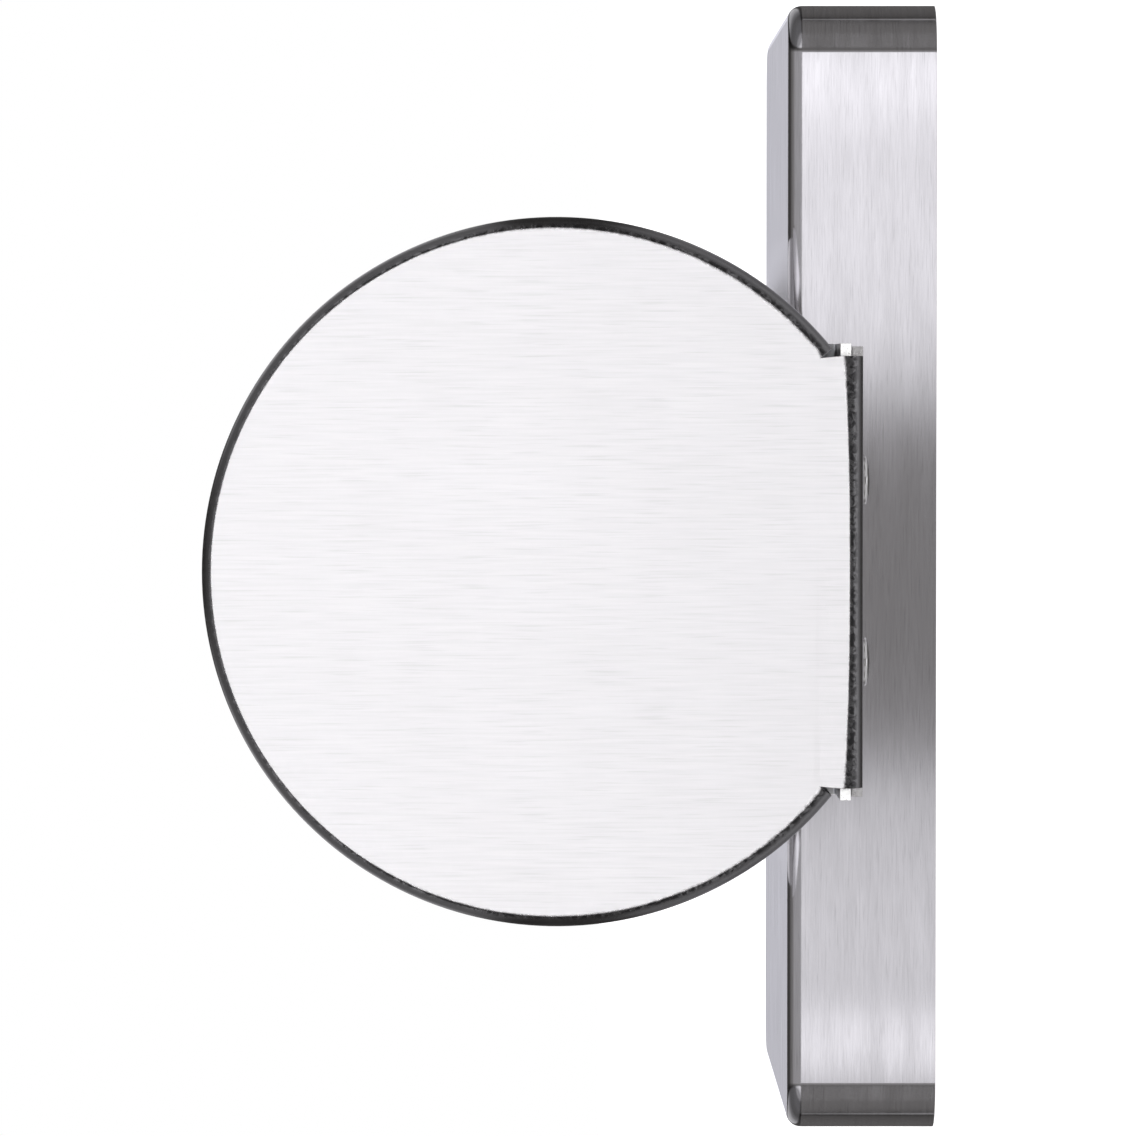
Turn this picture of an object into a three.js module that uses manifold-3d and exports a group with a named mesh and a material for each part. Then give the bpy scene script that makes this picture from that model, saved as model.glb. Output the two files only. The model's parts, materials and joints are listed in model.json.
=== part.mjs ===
// Floor-mounted electromagnetic door holder, in millimetres, +Z up.
// A shallow brushed steel base cover stands on the floor. A D-shaped drum lies across it, overhanging
// both long sides. The magnet faces +Y, towards the open door, and a blank cap closes the -Y end.
// The origin is the centre of the base's underside, on the floor, and X runs along the base's length.

import * as THREE from 'three';
import { mergeVertices } from 'three/addons/utils/BufferGeometryUtils.js';
import Module from 'manifold-3d';

const wasm = await Module();
wasm.setup();

// ---- Driving dimensions -------------------------------------------------------------------------

const SHEET = 1.1; // stainless sheet of the cover, caps and chassis
const CONTACT = 0.1; // assembly gap between parts that rest on each other
const CLEARANCE = 0.3; // gap around cut, round and sliding parts

const BASE = { length: 114.3, width: 70, height: 15, cornerRadius: 4.5, bendRadius: 1.5 };
const PLATE = { thickness: 2, inset: 0.4, cornerRadius: 3 };
const FLOOR_BOX_SPACING = 83.3; // screws of a single-gang floor box
const FLOOR_BOX_SLOT = { length: 9, width: 5 };
const ANCHOR = { x: 49, y: 26, radius: 2.8 };

const DRUM_AXIS_HEIGHT = 38.4;
const DRUM_LENGTH = 94; // outside face of one cap to the outside face of the other
const SHELL = { radius: 34, thickness: 1 };

const CAP = { radius: 35.3, depth: 10.5, bendRadius: 1.1, arcEnd: 27.4, chord: 30.5 };
const CAP_NECK_WIDTH = 43; // width of the flat face where it runs down to the chord flange
const CAP_EAR_WIDTH = 45.5; // width of the chord flange and of the chassis lip above it
const CAP_SCREW = { x: 9.1, setback: 5.5, length: 6.5 }; // setback from the cap's outside face

const CHASSIS_BOLT = { x: 17, y: 27, length: 10 };
const BRACKET_BOLT = { x: 7, length: 10 };
const M3 = { shank: 1.45, hole: 1.75, head: 2.55, headHeight: 0.75, nutFlats: 5.5, nutHeight: 2.4 };
const M4 = { shank: 1.95, hole: 2.3, head: 3.6, headHeight: 2.6, nutFlats: 7, nutHeight: 3.2 };
const M8 = { shank: 3.9, hole: 4.3, headFlats: 13, headHeight: 5.3, washer: 6.4, washerHeight: 2 };

const CABLE = { y: -11, plateRadius: 9, coverRadius: 6.8, bore: 5.6, brim: 1.2 };

const MAGNET = { radius: 21, wall: 3.5, back: 5, length: 31, proud: 3, window: 1 };
const CORE = { radius: 9, pinBore: 4, pinBoreDepth: 14, boltDepth: 10 };
const BOBBIN = { setback: 3.8, wall: 1, flange: 1.2 };
const EJECTOR = { travel: 2.5, radius: 1.95, collar: 3.4, collarLength: 3, bush: 4, bushPlay: 0.15 };
const EJECTOR_SPRING = { radius: 2.8, wire: 0.35, turns: 5 };
const BRACKET = { width: 24, thickness: 3, height: 35, foot: 12, bend: 1 };

const BUTTON = { proud: 3.2, radius: 3.7, collar: 4.5, collarHeight: 1.5, stem: 1.4, play: 0.2 };
const BUTTON_SPRING = { radius: 3, wire: 0.3, turns: 4 };
const BUSHING = { radius: 6, flange: 7.7, flangeHeight: 1.2, depth: 11.5, step: 3.3 };
const BUSHING_NUT = { flats: 15, height: 2 };
const SWITCH = { width: 13, height: 10, stemHole: 1.8, stemDepth: 3.4, stemEntry: 0.8 };

const BOARD = { width: 36, length: 27, thickness: 1.6, height: 5.7, front: -16.5, corner: 1.5 };
const SPACER = { x: 13, frontY: -20, rearY: -32.5, radius: 2.5, pin: 1.4, hole: 1.7, tip: 1.4 };
const TERMINAL = { poles: 4, pitch: 5, depth: 9, height: 10, end: 0.2, setback: 0.6 };
const TERMINAL_WELL = { radius: 1.9, depth: 4, fromFront: 3.4 };
const TERMINAL_ENTRY = { width: 3.4, depth: 4, low: 1.2, high: 4.8 };
const TERMINAL_SCREW = { radius: 1.6, height: 2.2, slot: 0.6, slotDepth: 0.8 };
const VARISTOR = { x: -9.5, y: -26, radius: 4.5, thickness: 3.2, height: 7, legX: 2.5, leg: 0.8 };
const CAPACITOR = { x: 9, y: -26.5, radius: 4, height: 11, groove: 0.3 };
const LEAD_RADIUS = 0.8;

const ROUND_STEPS = 72; // flats round the drum
const MAGNET_STEPS = 36; // flats round the magnet's rings
const SMALL_STEPS = 20; // flats round a post, bush or button
const SCREW_STEPS = 12; // flats round a screw and its hole
const SPRING_STEPS = 10; // lengths of wire in one turn of a spring
const LEAD_STEPS = 16; // lengths of one lead
const WIRE_STEPS = 6; // flats round a spring's wire or a lead
const CORNER_STEPS = 6; // flats round a cover's corner
const BEND_STEPS = 3; // flats round a sheet bend
const REACH = 200; // size of a cutting tool that goes through everything

// ---- Derived heights and places -----------------------------------------------------------------

const chassisUnder = BASE.height + CONTACT;
const chassisTop = chassisUnder + SHEET;
const deck = chassisTop + CONTACT; // where parts inside the drum stand
const capFaceY = DRUM_LENGTH / 2;
const capOpenY = capFaceY - CAP.depth;
const chordUnder = DRUM_AXIS_HEIGHT - CAP.chord;
const lipUnder = chordUnder + SHEET + CONTACT;
const lipTop = lipUnder + SHEET;
const capScrewY = capFaceY - CAP_SCREW.setback;
const crown = DRUM_AXIS_HEIGHT + SHELL.radius;
const magnetFaceY = capFaceY + MAGNET.proud;
const magnetBackY = magnetFaceY - MAGNET.length;
const bracketFrontY = magnetBackY - CONTACT;
const bracketBackY = bracketFrontY - BRACKET.thickness;
const bracketBoltY = bracketBackY - BRACKET.foot / 2;
const coilRoom = MAGNET.radius - MAGNET.wall; // inside radius of the magnet pot
const coilLeadX = (CORE.radius + coilRoom) / 2 + 1;
const boardTop = deck + BOARD.height + BOARD.thickness;
const landing = boardTop + CONTACT; // where parts stand on the board

// ---- Materials ----------------------------------------------------------------------------------

function finish(color, roughness, metalness) {
  return new THREE.MeshStandardMaterial({ color, roughness, metalness });
}

const brushedSteel = finish(0xd9d7da, 0.34, 1);
const zincSteel = finish(0xb4b7bb, 0.45, 1);
const darkSteel = finish(0x6d7075, 0.5, 1);
const bareIron = finish(0x9a9c9f, 0.38, 1);
const copper = finish(0xa8582c, 0.4, 0.9);
const brass = finish(0xc2a052, 0.35, 1);
const blackRubber = finish(0x1c1c1e, 0.85, 0);
const blackPlastic = finish(0x202124, 0.55, 0);
const whiteNylon = finish(0xe8e6df, 0.5, 0);
const redPlastic = finish(0xb3201c, 0.4, 0);
const greenPlastic = finish(0x2d7f4a, 0.5, 0);
const boardGreen = finish(0x1d5a38, 0.5, 0);
const pottingResin = finish(0x17181a, 0.3, 0);
const bluePlastic = finish(0x2a4f9c, 0.45, 0);
const redInsulation = finish(0xa52620, 0.55, 0);

// ---- Solid helpers ------------------------------------------------------------------------------

const MERGE_DISTANCE = 1e-4;

// A closed geometry as a solid. Triangles that merging its vertices has collapsed are dropped.
function solidOf(geometry) {
  const bare = geometry.clone();
  bare.deleteAttribute('normal');
  bare.deleteAttribute('uv');
  const merged = mergeVertices(bare, MERGE_DISTANCE);
  const corners = merged.index.array;
  const kept = [];
  for (let i = 0; i < corners.length; i += 3) {
    const [a, b, c] = corners.slice(i, i + 3);
    if (a !== b && b !== c && c !== a) kept.push(a, b, c);
  }
  const vertProperties = new Float32Array(merged.attributes.position.array);
  return new wasm.Manifold(new wasm.Mesh({ numProp: 3, vertProperties, triVerts: new Uint32Array(kept) }));
}

function geometryOf(solid) {
  const mesh = solid.getMesh();
  const indexed = new THREE.BufferGeometry();
  indexed.setAttribute('position', new THREE.BufferAttribute(mesh.vertProperties, 3));
  indexed.setIndex(new THREE.BufferAttribute(mesh.triVerts, 1));
  const faceted = indexed.toNonIndexed();
  faceted.computeVertexNormals();
  return faceted;
}

function cut(body, ...tools) {
  return geometryOf(tools.reduce((solid, tool) => solid.subtract(solidOf(tool)), solidOf(body)));
}

function join(...bodies) {
  return geometryOf(bodies.slice(1).reduce((solid, body) => solid.add(solidOf(body)), solidOf(bodies[0])));
}

// ---- Shape helpers ------------------------------------------------------------------------------

const X_AXIS = new THREE.Vector3(1, 0, 0);
const Y_AXIS = new THREE.Vector3(0, 1, 0);
const Z_AXIS = new THREE.Vector3(0, 0, 1);

// A box from its low corner to its high corner.
function block(low, high) {
  const size = high.map((value, i) => value - low[i]);
  const centre = high.map((value, i) => (value + low[i]) / 2);
  return new THREE.BoxGeometry(...size).translate(...centre);
}

// An outline extruded straight up from z = 0. Each arc of an outline gets twice its curveSegments.
function prism(outline, height, steps = SMALL_STEPS) {
  return new THREE.ExtrudeGeometry(outline, { depth: height, bevelEnabled: false, curveSegments: steps / 2 });
}

// An outline extruded up from z = 0, with the top edge bent round.
function roundTopPrism(outline, height, bendRadius, steps) {
  const body = new THREE.ExtrudeGeometry(outline, {
    depth: height - bendRadius,
    bevelThickness: bendRadius,
    bevelSize: bendRadius,
    bevelOffset: -bendRadius,
    bevelSegments: BEND_STEPS,
    curveSegments: steps / 2,
  });
  return cut(body, block([-REACH, -REACH, -REACH], [REACH, REACH, 0]));
}

function circle(radius, x = 0, y = 0) {
  return new THREE.Shape().absarc(x, y, radius, 0, 2 * Math.PI);
}

function roundedRectangle(length, width, radius) {
  const x = length / 2 - radius;
  const y = width / 2 - radius;
  const quarter = Math.PI / 2;
  const outline = new THREE.Shape();
  outline.absarc(x, y, radius, 0, quarter);
  outline.absarc(-x, y, radius, quarter, 2 * quarter);
  outline.absarc(-x, -y, radius, 2 * quarter, 3 * quarter);
  outline.absarc(x, -y, radius, 3 * quarter, 4 * quarter);
  return outline;
}

// The section of a bent sheet, from its centre line's corners.
function foldedStrip(corners, thickness, insideRadius) {
  const half = thickness / 2;
  const centreRadius = insideRadius + half;
  const left = [];
  const right = [];
  corners.forEach((corner, i) => {
    const before = corners[i - 1];
    const after = corners[i + 1];
    if (!before || !after) {
      const along = after ? after.clone().sub(corner) : corner.clone().sub(before);
      const across = new THREE.Vector2(-along.y, along.x).setLength(half);
      left.push(corner.clone().add(across));
      right.push(corner.clone().sub(across));
      return;
    }
    const arriving = corner.clone().sub(before).normalize();
    const leaving = after.clone().sub(corner).normalize();
    const turn = Math.atan2(arriving.cross(leaving), arriving.dot(leaving));
    const side = Math.sign(turn);
    const setback = centreRadius * Math.tan(Math.abs(turn) / 2);
    const inward = new THREE.Vector2(-arriving.y, arriving.x).multiplyScalar(side);
    const centre = corner.clone().addScaledVector(arriving, -setback).addScaledVector(inward, centreRadius);
    for (let step = 0; step <= BEND_STEPS; step += 1) {
      const angle = (turn * step) / BEND_STEPS;
      const outward = inward.clone().negate().rotateAround(new THREE.Vector2(), angle);
      left.push(centre.clone().addScaledVector(outward, centreRadius - side * half));
      right.push(centre.clone().addScaledVector(outward, centreRadius + side * half));
    }
  });
  return new THREE.Shape([...left, ...right.reverse()]);
}

// A section drawn in (Y, Z), extruded along X and centred on X = 0.
function acrossX(section, width) {
  const toWorld = new THREE.Matrix4().makeBasis(Y_AXIS, Z_AXIS, X_AXIS);
  return prism(section, width).applyMatrix4(toWorld).translate(-width / 2, 0, 0);
}

// A profile of [radius, distance along the axis], listed with its solid on the left, turned about the
// Y axis. It starts and ends on the axis, or else it is closed here.
function turned(profile, steps = SMALL_STEPS) {
  const points = profile.map(([radius, along]) => new THREE.Vector2(radius, along));
  if (points[0].x > 0) points.push(points[0].clone());
  return new THREE.LatheGeometry(points, steps);
}

// The same, about the Z axis.
function turnedUpright(profile, steps = SMALL_STEPS) {
  return turned(profile, steps).rotateX(Math.PI / 2);
}

// The profile of a plain cylinder.
function rod(radius, from, to) {
  return [[0, from], [radius, from], [radius, to], [0, to]];
}

// The profile of a plain ring.
function ring(inside, outside, from, to) {
  return [[inside, from], [outside, from], [outside, to], [inside, to]];
}

// Upright cutting cylinders, through everything unless they are given ends.
function drills(places, radius, steps = SCREW_STEPS, from = -REACH, to = REACH) {
  return places.map(([x, y]) => turnedUpright(rod(radius, from, to), steps).translate(x, y, 0));
}

function hexagon(acrossFlats) {
  const corner = acrossFlats / Math.sqrt(3);
  const points = [];
  for (let i = 0; i < 6; i += 1) {
    const angle = (i * Math.PI) / 3;
    points.push(new THREE.Vector2(corner * Math.cos(angle), corner * Math.sin(angle)));
  }
  return new THREE.Shape(points);
}

function hexTube(acrossFlats, height, bore) {
  const section = hexagon(acrossFlats);
  section.holes.push(circle(bore));
  return prism(section, height, SCREW_STEPS);
}

// A cross-recessed screw: its seat at z = 0, a low domed head above and the shank below.
function crossScrew({ shank, head, headHeight }, length) {
  const chamfer = shank / 4;
  const body = turnedUpright([
    [0, -length], [shank - chamfer, -length], [shank, chamfer - length], [shank, 0],
    [head, 0], [head, headHeight * 0.3], [head * 0.75, headHeight * 0.8], [0, headHeight],
  ], SCREW_STEPS);
  const arm = head * 0.55;
  const half = head * 0.12;
  const slot = block([-arm, -half, -headHeight * 0.1], [arm, half, headHeight * 2]);
  return cut(body, slot, slot.clone().rotateZ(Math.PI / 2));
}

class Helix extends THREE.Curve {
  constructor(radius, length, turns) {
    super();
    Object.assign(this, { radius, length, turns });
  }

  getPoint(t, target = new THREE.Vector3()) {
    const angle = 2 * Math.PI * this.turns * t;
    return target.set(this.radius * Math.cos(angle), this.radius * Math.sin(angle), this.length * t);
  }
}

// A coil spring from z = 0 up, outside wire faces included.
function coilSpring({ radius, wire, turns }, height) {
  const path = new Helix(radius, height - 2 * wire, turns);
  const options = { steps: turns * SPRING_STEPS, extrudePath: path, curveSegments: WIRE_STEPS / 2 };
  return new THREE.ExtrudeGeometry(circle(wire), options).translate(0, 0, wire);
}

function lead(points) {
  const path = new THREE.CatmullRomCurve3(points.map((point) => new THREE.Vector3(...point)));
  const options = { steps: LEAD_STEPS, extrudePath: path, curveSegments: WIRE_STEPS / 2 };
  return new THREE.ExtrudeGeometry(circle(LEAD_RADIUS), options);
}

// ---- Groups and shared places -------------------------------------------------------------------

const holder = new THREE.Group();
const base = new THREE.Group();
const drum = new THREE.Group();
drum.position.z = DRUM_AXIS_HEIGHT;
holder.add(base, drum);

function addPart(group, name, geometry, material, position = [0, 0, 0], rotation = [0, 0, 0]) {
  const mesh = new THREE.Mesh(geometry, material);
  mesh.name = name;
  mesh.position.set(...position);
  mesh.rotation.set(...rotation);
  group.add(mesh);
}

const fourCorners = (x, y) => [[x, y], [-x, y], [-x, -y], [x, -y]];
const chassisBoltPlaces = fourCorners(CHASSIS_BOLT.x, CHASSIS_BOLT.y);
const bracketBoltPlaces = [[BRACKET_BOLT.x, bracketBoltY], [-BRACKET_BOLT.x, bracketBoltY]];
const cablePlace = [[0, CABLE.y]];
const sides = [['left', -1], ['right', 1]];

// ---- Base: floor plate, posts and cover ---------------------------------------------------------

function addBasePlate() {
  const play = 2 * (SHEET + PLATE.inset);
  const outline = roundedRectangle(BASE.length - play, BASE.width - play, PLATE.cornerRadius);
  outline.holes.push(circle(CABLE.plateRadius, 0, CABLE.y));
  for (const [x, y] of fourCorners(ANCHOR.x, ANCHOR.y)) outline.holes.push(circle(ANCHOR.radius, x, y));
  for (const side of [-1, 1]) {
    const end = (FLOOR_BOX_SLOT.length - FLOOR_BOX_SLOT.width) / 2;
    const centre = (side * FLOOR_BOX_SPACING) / 2;
    const radius = FLOOR_BOX_SLOT.width / 2;
    const slot = new THREE.Path();
    slot.absarc(centre, end, radius, 0, Math.PI);
    slot.absarc(centre, -end, radius, Math.PI, 2 * Math.PI);
    outline.holes.push(slot);
  }
  addPart(base, 'base_plate', prism(outline, PLATE.thickness, CORNER_STEPS * 2), zincSteel);
}

function addPosts() {
  const height = BASE.height - SHEET - PLATE.thickness - 2 * CONTACT;
  chassisBoltPlaces.forEach(([x, y], i) => {
    const post = hexTube(M4.nutFlats, height, M4.hole);
    addPart(base, `support_post_${i + 1}`, post, zincSteel, [x, y, PLATE.thickness + CONTACT]);
  });
}

function addBaseCover() {
  const outside = roundedRectangle(BASE.length, BASE.width, BASE.cornerRadius);
  const inside = roundedRectangle(BASE.length - 2 * SHEET, BASE.width - 2 * SHEET, BASE.cornerRadius - SHEET);
  const pan = cut(
    roundTopPrism(outside, BASE.height, BASE.bendRadius, CORNER_STEPS),
    roundTopPrism(inside, BASE.height - SHEET, BASE.bendRadius - SHEET, CORNER_STEPS),
    ...drills([...chassisBoltPlaces, ...bracketBoltPlaces], M4.hole),
    ...drills(cablePlace, CABLE.coverRadius, SMALL_STEPS),
  );
  addPart(base, 'base_cover', pan, brushedSteel);
}

function addCableGrommet() {
  const neck = CABLE.coverRadius - CLEARANCE;
  const brim = CABLE.coverRadius + CABLE.brim;
  const low = BASE.height - SHEET - CONTACT;
  const grommet = turnedUpright([
    [CABLE.bore, low - CABLE.brim], [brim, low - CABLE.brim], [brim, low], [neck, low],
    [neck, deck], [brim, deck], [brim, deck + CABLE.brim], [CABLE.bore, deck + CABLE.brim],
  ]);
  addPart(base, 'cable_grommet', grommet, blackRubber, [0, CABLE.y, 0]);
}

// ---- Chassis: saddle over the cover, with a lip outside each long wall --------------------------

function addChassis() {
  const half = SHEET / 2;
  const webY = BASE.width / 2 + CLEARANCE + half;
  const topZ = chassisTop - half;
  const lipZ = lipTop - half;
  const lipEndY = capFaceY - SHEET - CLEARANCE;
  const rear = [[-lipEndY, lipZ], [-webY, lipZ], [-webY, topZ]];
  const front = [[webY, topZ], [webY, lipZ], [lipEndY, lipZ]];
  const centreLine = [...rear, ...front].map(([y, z]) => new THREE.Vector2(y, z));
  const saddle = acrossX(foldedStrip(centreLine, SHEET, CLEARANCE), CAP_EAR_WIDTH);
  const body = cut(
    saddle,
    ...drills([...chassisBoltPlaces, ...bracketBoltPlaces], M4.hole),
    ...drills(cablePlace, CABLE.coverRadius, SMALL_STEPS),
    ...drills(fourCorners(CAP_SCREW.x, capScrewY), M3.hole),
  );
  addPart(base, 'chassis', body, zincSteel);
  chassisBoltPlaces.forEach(([x, y], i) => {
    addPart(base, `chassis_bolt_${i + 1}`, crossScrew(M4, CHASSIS_BOLT.length), zincSteel, [x, y, deck]);
  });
}

// ---- Drum: wrapped shell and the two D-shaped caps ----------------------------------------------

function addShell() {
  const inner = SHELL.radius - SHELL.thickness;
  const edge = DRUM_AXIS_HEIGHT - BASE.height - CONTACT; // the shell's edges stand on the cover
  const outerAngle = Math.asin(edge / SHELL.radius);
  const innerAngle = Math.asin(edge / inner);
  const section = new THREE.Shape();
  section.absarc(0, 0, SHELL.radius, -outerAngle, Math.PI + outerAngle);
  section.absarc(0, 0, inner, Math.PI + innerAngle, -innerAngle, true);
  const length = DRUM_LENGTH - 2 * (SHEET + CONTACT);
  const wrap = prism(section, length, ROUND_STEPS).rotateX(Math.PI / 2).translate(0, length / 2, 0);
  const bushingHole = turnedUpright(rod(BUSHING.radius + CLEARANCE, 0, REACH));
  addPart(drum, 'drum_shell', cut(wrap, bushingHole), brushedSteel);
}

// The blank cap for the -Y end, with its origin on the drum's axis.
function blankCap() {
  const outside = roundTopPrism(circle(CAP.radius), CAP.depth, CAP.bendRadius, ROUND_STEPS);
  const inside = roundTopPrism(circle(CAP.radius - SHEET), CAP.depth - SHEET, CLEARANCE, ROUND_STEPS);
  const belowArc = block([-REACH, -REACH, -REACH], [REACH, -CAP.arcEnd, REACH]);
  const cup = cut(outside, inside, belowArc).rotateX(Math.PI / 2).translate(0, -capOpenY, 0);
  const faceY = -capFaceY + SHEET / 2;
  const flangeZ = -CAP.chord + SHEET / 2;
  const neckTop = -CAP.arcEnd + SHEET;
  const corners = [[faceY, neckTop], [faceY, flangeZ], [-capOpenY, flangeZ]];
  const fold = foldedStrip(corners.map(([y, z]) => new THREE.Vector2(y, z)), SHEET, CLEARANCE);
  const bendEndY = -capFaceY + SHEET + CLEARANCE;
  const halfEar = CAP_EAR_WIDTH / 2;
  const ears = block([-halfEar, bendEndY, -CAP.chord], [halfEar, -capOpenY, -CAP.chord + SHEET]);
  const screwPlaces = sides.map(([, side]) => [side * CAP_SCREW.x, -capScrewY]);
  const screwHoles = drills(screwPlaces, M3.hole, SCREW_STEPS, -REACH, 0);
  return cut(join(cup, acrossX(fold, CAP_NECK_WIDTH), ears), ...screwHoles);
}

function addCaps() {
  const blank = blankCap();
  const window = turned(rod(MAGNET.radius + MAGNET.window, -REACH, REACH), MAGNET_STEPS);
  addPart(drum, 'rear_cap', blank, brushedSteel);
  addPart(drum, 'front_cap', cut(blank.clone().rotateZ(Math.PI), window), brushedSteel);
  for (const [end, y] of [['rear', -capScrewY], ['front', capScrewY]]) {
    for (const [name, side] of sides) {
      const x = side * CAP_SCREW.x;
      const seat = [x, y, chordUnder - CONTACT];
      const screw = crossScrew(M3, CAP_SCREW.length);
      addPart(base, `${end}_cap_screw_${name}`, screw, zincSteel, seat, [Math.PI, 0, 0]);
      const nut = hexTube(M3.nutFlats, M3.nutHeight, M3.hole);
      addPart(base, `${end}_cap_nut_${name}`, nut, zincSteel, [x, y, lipTop + CONTACT]);
    }
  }
}

// ---- Magnet: bracket, pot, core and coil --------------------------------------------------------

function addMagnetBracket() {
  const half = BRACKET.thickness / 2;
  const centreY = bracketFrontY - half;
  const footEndY = bracketBackY - BRACKET.foot;
  const corners = [[centreY, deck + BRACKET.height], [centreY, deck + half], [footEndY, deck + half]];
  const centreLine = corners.map(([y, z]) => new THREE.Vector2(y, z));
  const angle = acrossX(foldedStrip(centreLine, BRACKET.thickness, BRACKET.bend), BRACKET.width);
  const boltHole = turned(rod(M8.hole, -REACH, REACH)).translate(0, 0, DRUM_AXIS_HEIGHT);
  addPart(base, 'magnet_bracket', cut(angle, boltHole, ...drills(bracketBoltPlaces, M4.hole)), zincSteel);
  const seat = deck + BRACKET.thickness + CONTACT;
  const nutBottom = BASE.height - SHEET - CONTACT - M4.nutHeight;
  for (const [name, side] of sides) {
    const x = side * BRACKET_BOLT.x;
    const bolt = crossScrew(M4, BRACKET_BOLT.length);
    addPart(base, `bracket_bolt_${name}`, bolt, zincSteel, [x, bracketBoltY, seat]);
    const nut = hexTube(M4.nutFlats, M4.nutHeight, M4.hole);
    addPart(base, `bracket_nut_${name}`, nut, zincSteel, [x, bracketBoltY, nutBottom]);
  }
}

function addPotAndCore() {
  const floorY = magnetBackY + MAGNET.back;
  const pot = turned([
    [M8.hole, magnetBackY], [MAGNET.radius, magnetBackY], [MAGNET.radius, magnetFaceY],
    [coilRoom, magnetFaceY], [coilRoom, floorY], [M8.hole, floorY],
  ], MAGNET_STEPS);
  const leadHole = turned(rod(2 * LEAD_RADIUS, magnetBackY - CLEARANCE, floorY + CLEARANCE), SCREW_STEPS);
  const leadHoles = sides.map(([, side]) => leadHole.clone().translate(side * coilLeadX, 0, 0));
  addPart(drum, 'magnet_pot', cut(pot, ...leadHoles), bareIron);

  const coreBackY = floorY + CONTACT;
  const boltEndY = magnetBackY + CORE.boltDepth;
  const pinFloorY = magnetFaceY - CORE.pinBoreDepth;
  const core = turned([
    [0, boltEndY], [M8.hole, boltEndY], [M8.hole, coreBackY], [CORE.radius, coreBackY],
    [CORE.radius, magnetFaceY], [CORE.pinBore, magnetFaceY], [CORE.pinBore, pinFloorY], [0, pinFloorY],
  ], MAGNET_STEPS);
  addPart(drum, 'magnet_core', core, bareIron);
}

function addCoil() {
  const bore = CORE.radius + CLEARANCE;
  const tube = bore + BOBBIN.wall;
  const flange = coilRoom - CLEARANCE;
  const back = magnetBackY + MAGNET.back + CONTACT;
  const front = magnetFaceY - BOBBIN.setback;
  const windingBack = back + BOBBIN.flange;
  const windingFront = front - BOBBIN.flange;
  const bobbin = turned([
    [bore, back], [flange, back], [flange, windingBack], [tube, windingBack],
    [tube, windingFront], [flange, windingFront], [flange, front], [bore, front],
  ], MAGNET_STEPS);
  addPart(drum, 'coil_bobbin', bobbin, whiteNylon);
  const winding = ring(tube + CONTACT, flange - BOBBIN.wall, windingBack + CONTACT, windingFront - CONTACT);
  addPart(drum, 'coil_winding', turned(winding, MAGNET_STEPS), copper);
  const seal = ring(CORE.radius + CONTACT, coilRoom - CONTACT, front + CONTACT, magnetFaceY - 2 * CONTACT);
  addPart(drum, 'potting_ring', turned(seal, MAGNET_STEPS), pottingResin);
}

function addMagnetBolt() {
  const washerFrontY = bracketBackY - CONTACT;
  const washerBackY = washerFrontY - M8.washerHeight;
  const washer = turned(ring(M8.hole, M8.washer, washerBackY, washerFrontY));
  addPart(drum, 'magnet_washer', washer, darkSteel);
  const headY = washerBackY - CONTACT;
  const endY = magnetBackY + CORE.boltDepth - 1;
  const head = prism(hexagon(M8.headFlats), M8.headHeight).rotateX(Math.PI / 2).translate(0, headY, 0);
  const shank = turned(rod(M8.shank, headY - M8.headHeight / 2, endY));
  addPart(drum, 'magnet_bolt', join(head, shank), zincSteel);
}

function addEjector() {
  const bore = EJECTOR.radius + EJECTOR.bushPlay;
  const bushBackY = magnetFaceY - EJECTOR.bush;
  const bush = ring(bore, CORE.pinBore - CONTACT, bushBackY, magnetFaceY - CONTACT);
  addPart(drum, 'ejector_bush', turned(bush), brass);

  const collarFrontY = bushBackY - CONTACT;
  const collarBackY = collarFrontY - EJECTOR.collarLength;
  const tipY = magnetFaceY + EJECTOR.travel;
  const tipRound = EJECTOR.radius / 2;
  const pin = turned([
    [0, collarBackY], [EJECTOR.collar, collarBackY], [EJECTOR.collar, collarFrontY],
    [EJECTOR.radius, collarFrontY], [EJECTOR.radius, tipY - tipRound],
    [EJECTOR.radius * 0.8, tipY - tipRound * 0.3], [EJECTOR.radius * 0.4, tipY], [0, tipY],
  ]);
  addPart(drum, 'ejector_pin', pin, whiteNylon);

  const springBackY = magnetFaceY - CORE.pinBoreDepth + CONTACT;
  const spring = coilSpring(EJECTOR_SPRING, collarBackY - CONTACT - springBackY).rotateX(-Math.PI / 2);
  addPart(drum, 'ejector_spring', spring, darkSteel, [0, springBackY, 0]);
}

// ---- Release button and switch in the crown of the drum -----------------------------------------

const bushingTop = crown + CONTACT + BUSHING.flangeHeight;
const bushingStep = bushingTop - BUSHING.step;
const switchTop = bushingTop - BUSHING.depth - CONTACT;
const switchBottom = switchTop - SWITCH.height;

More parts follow.
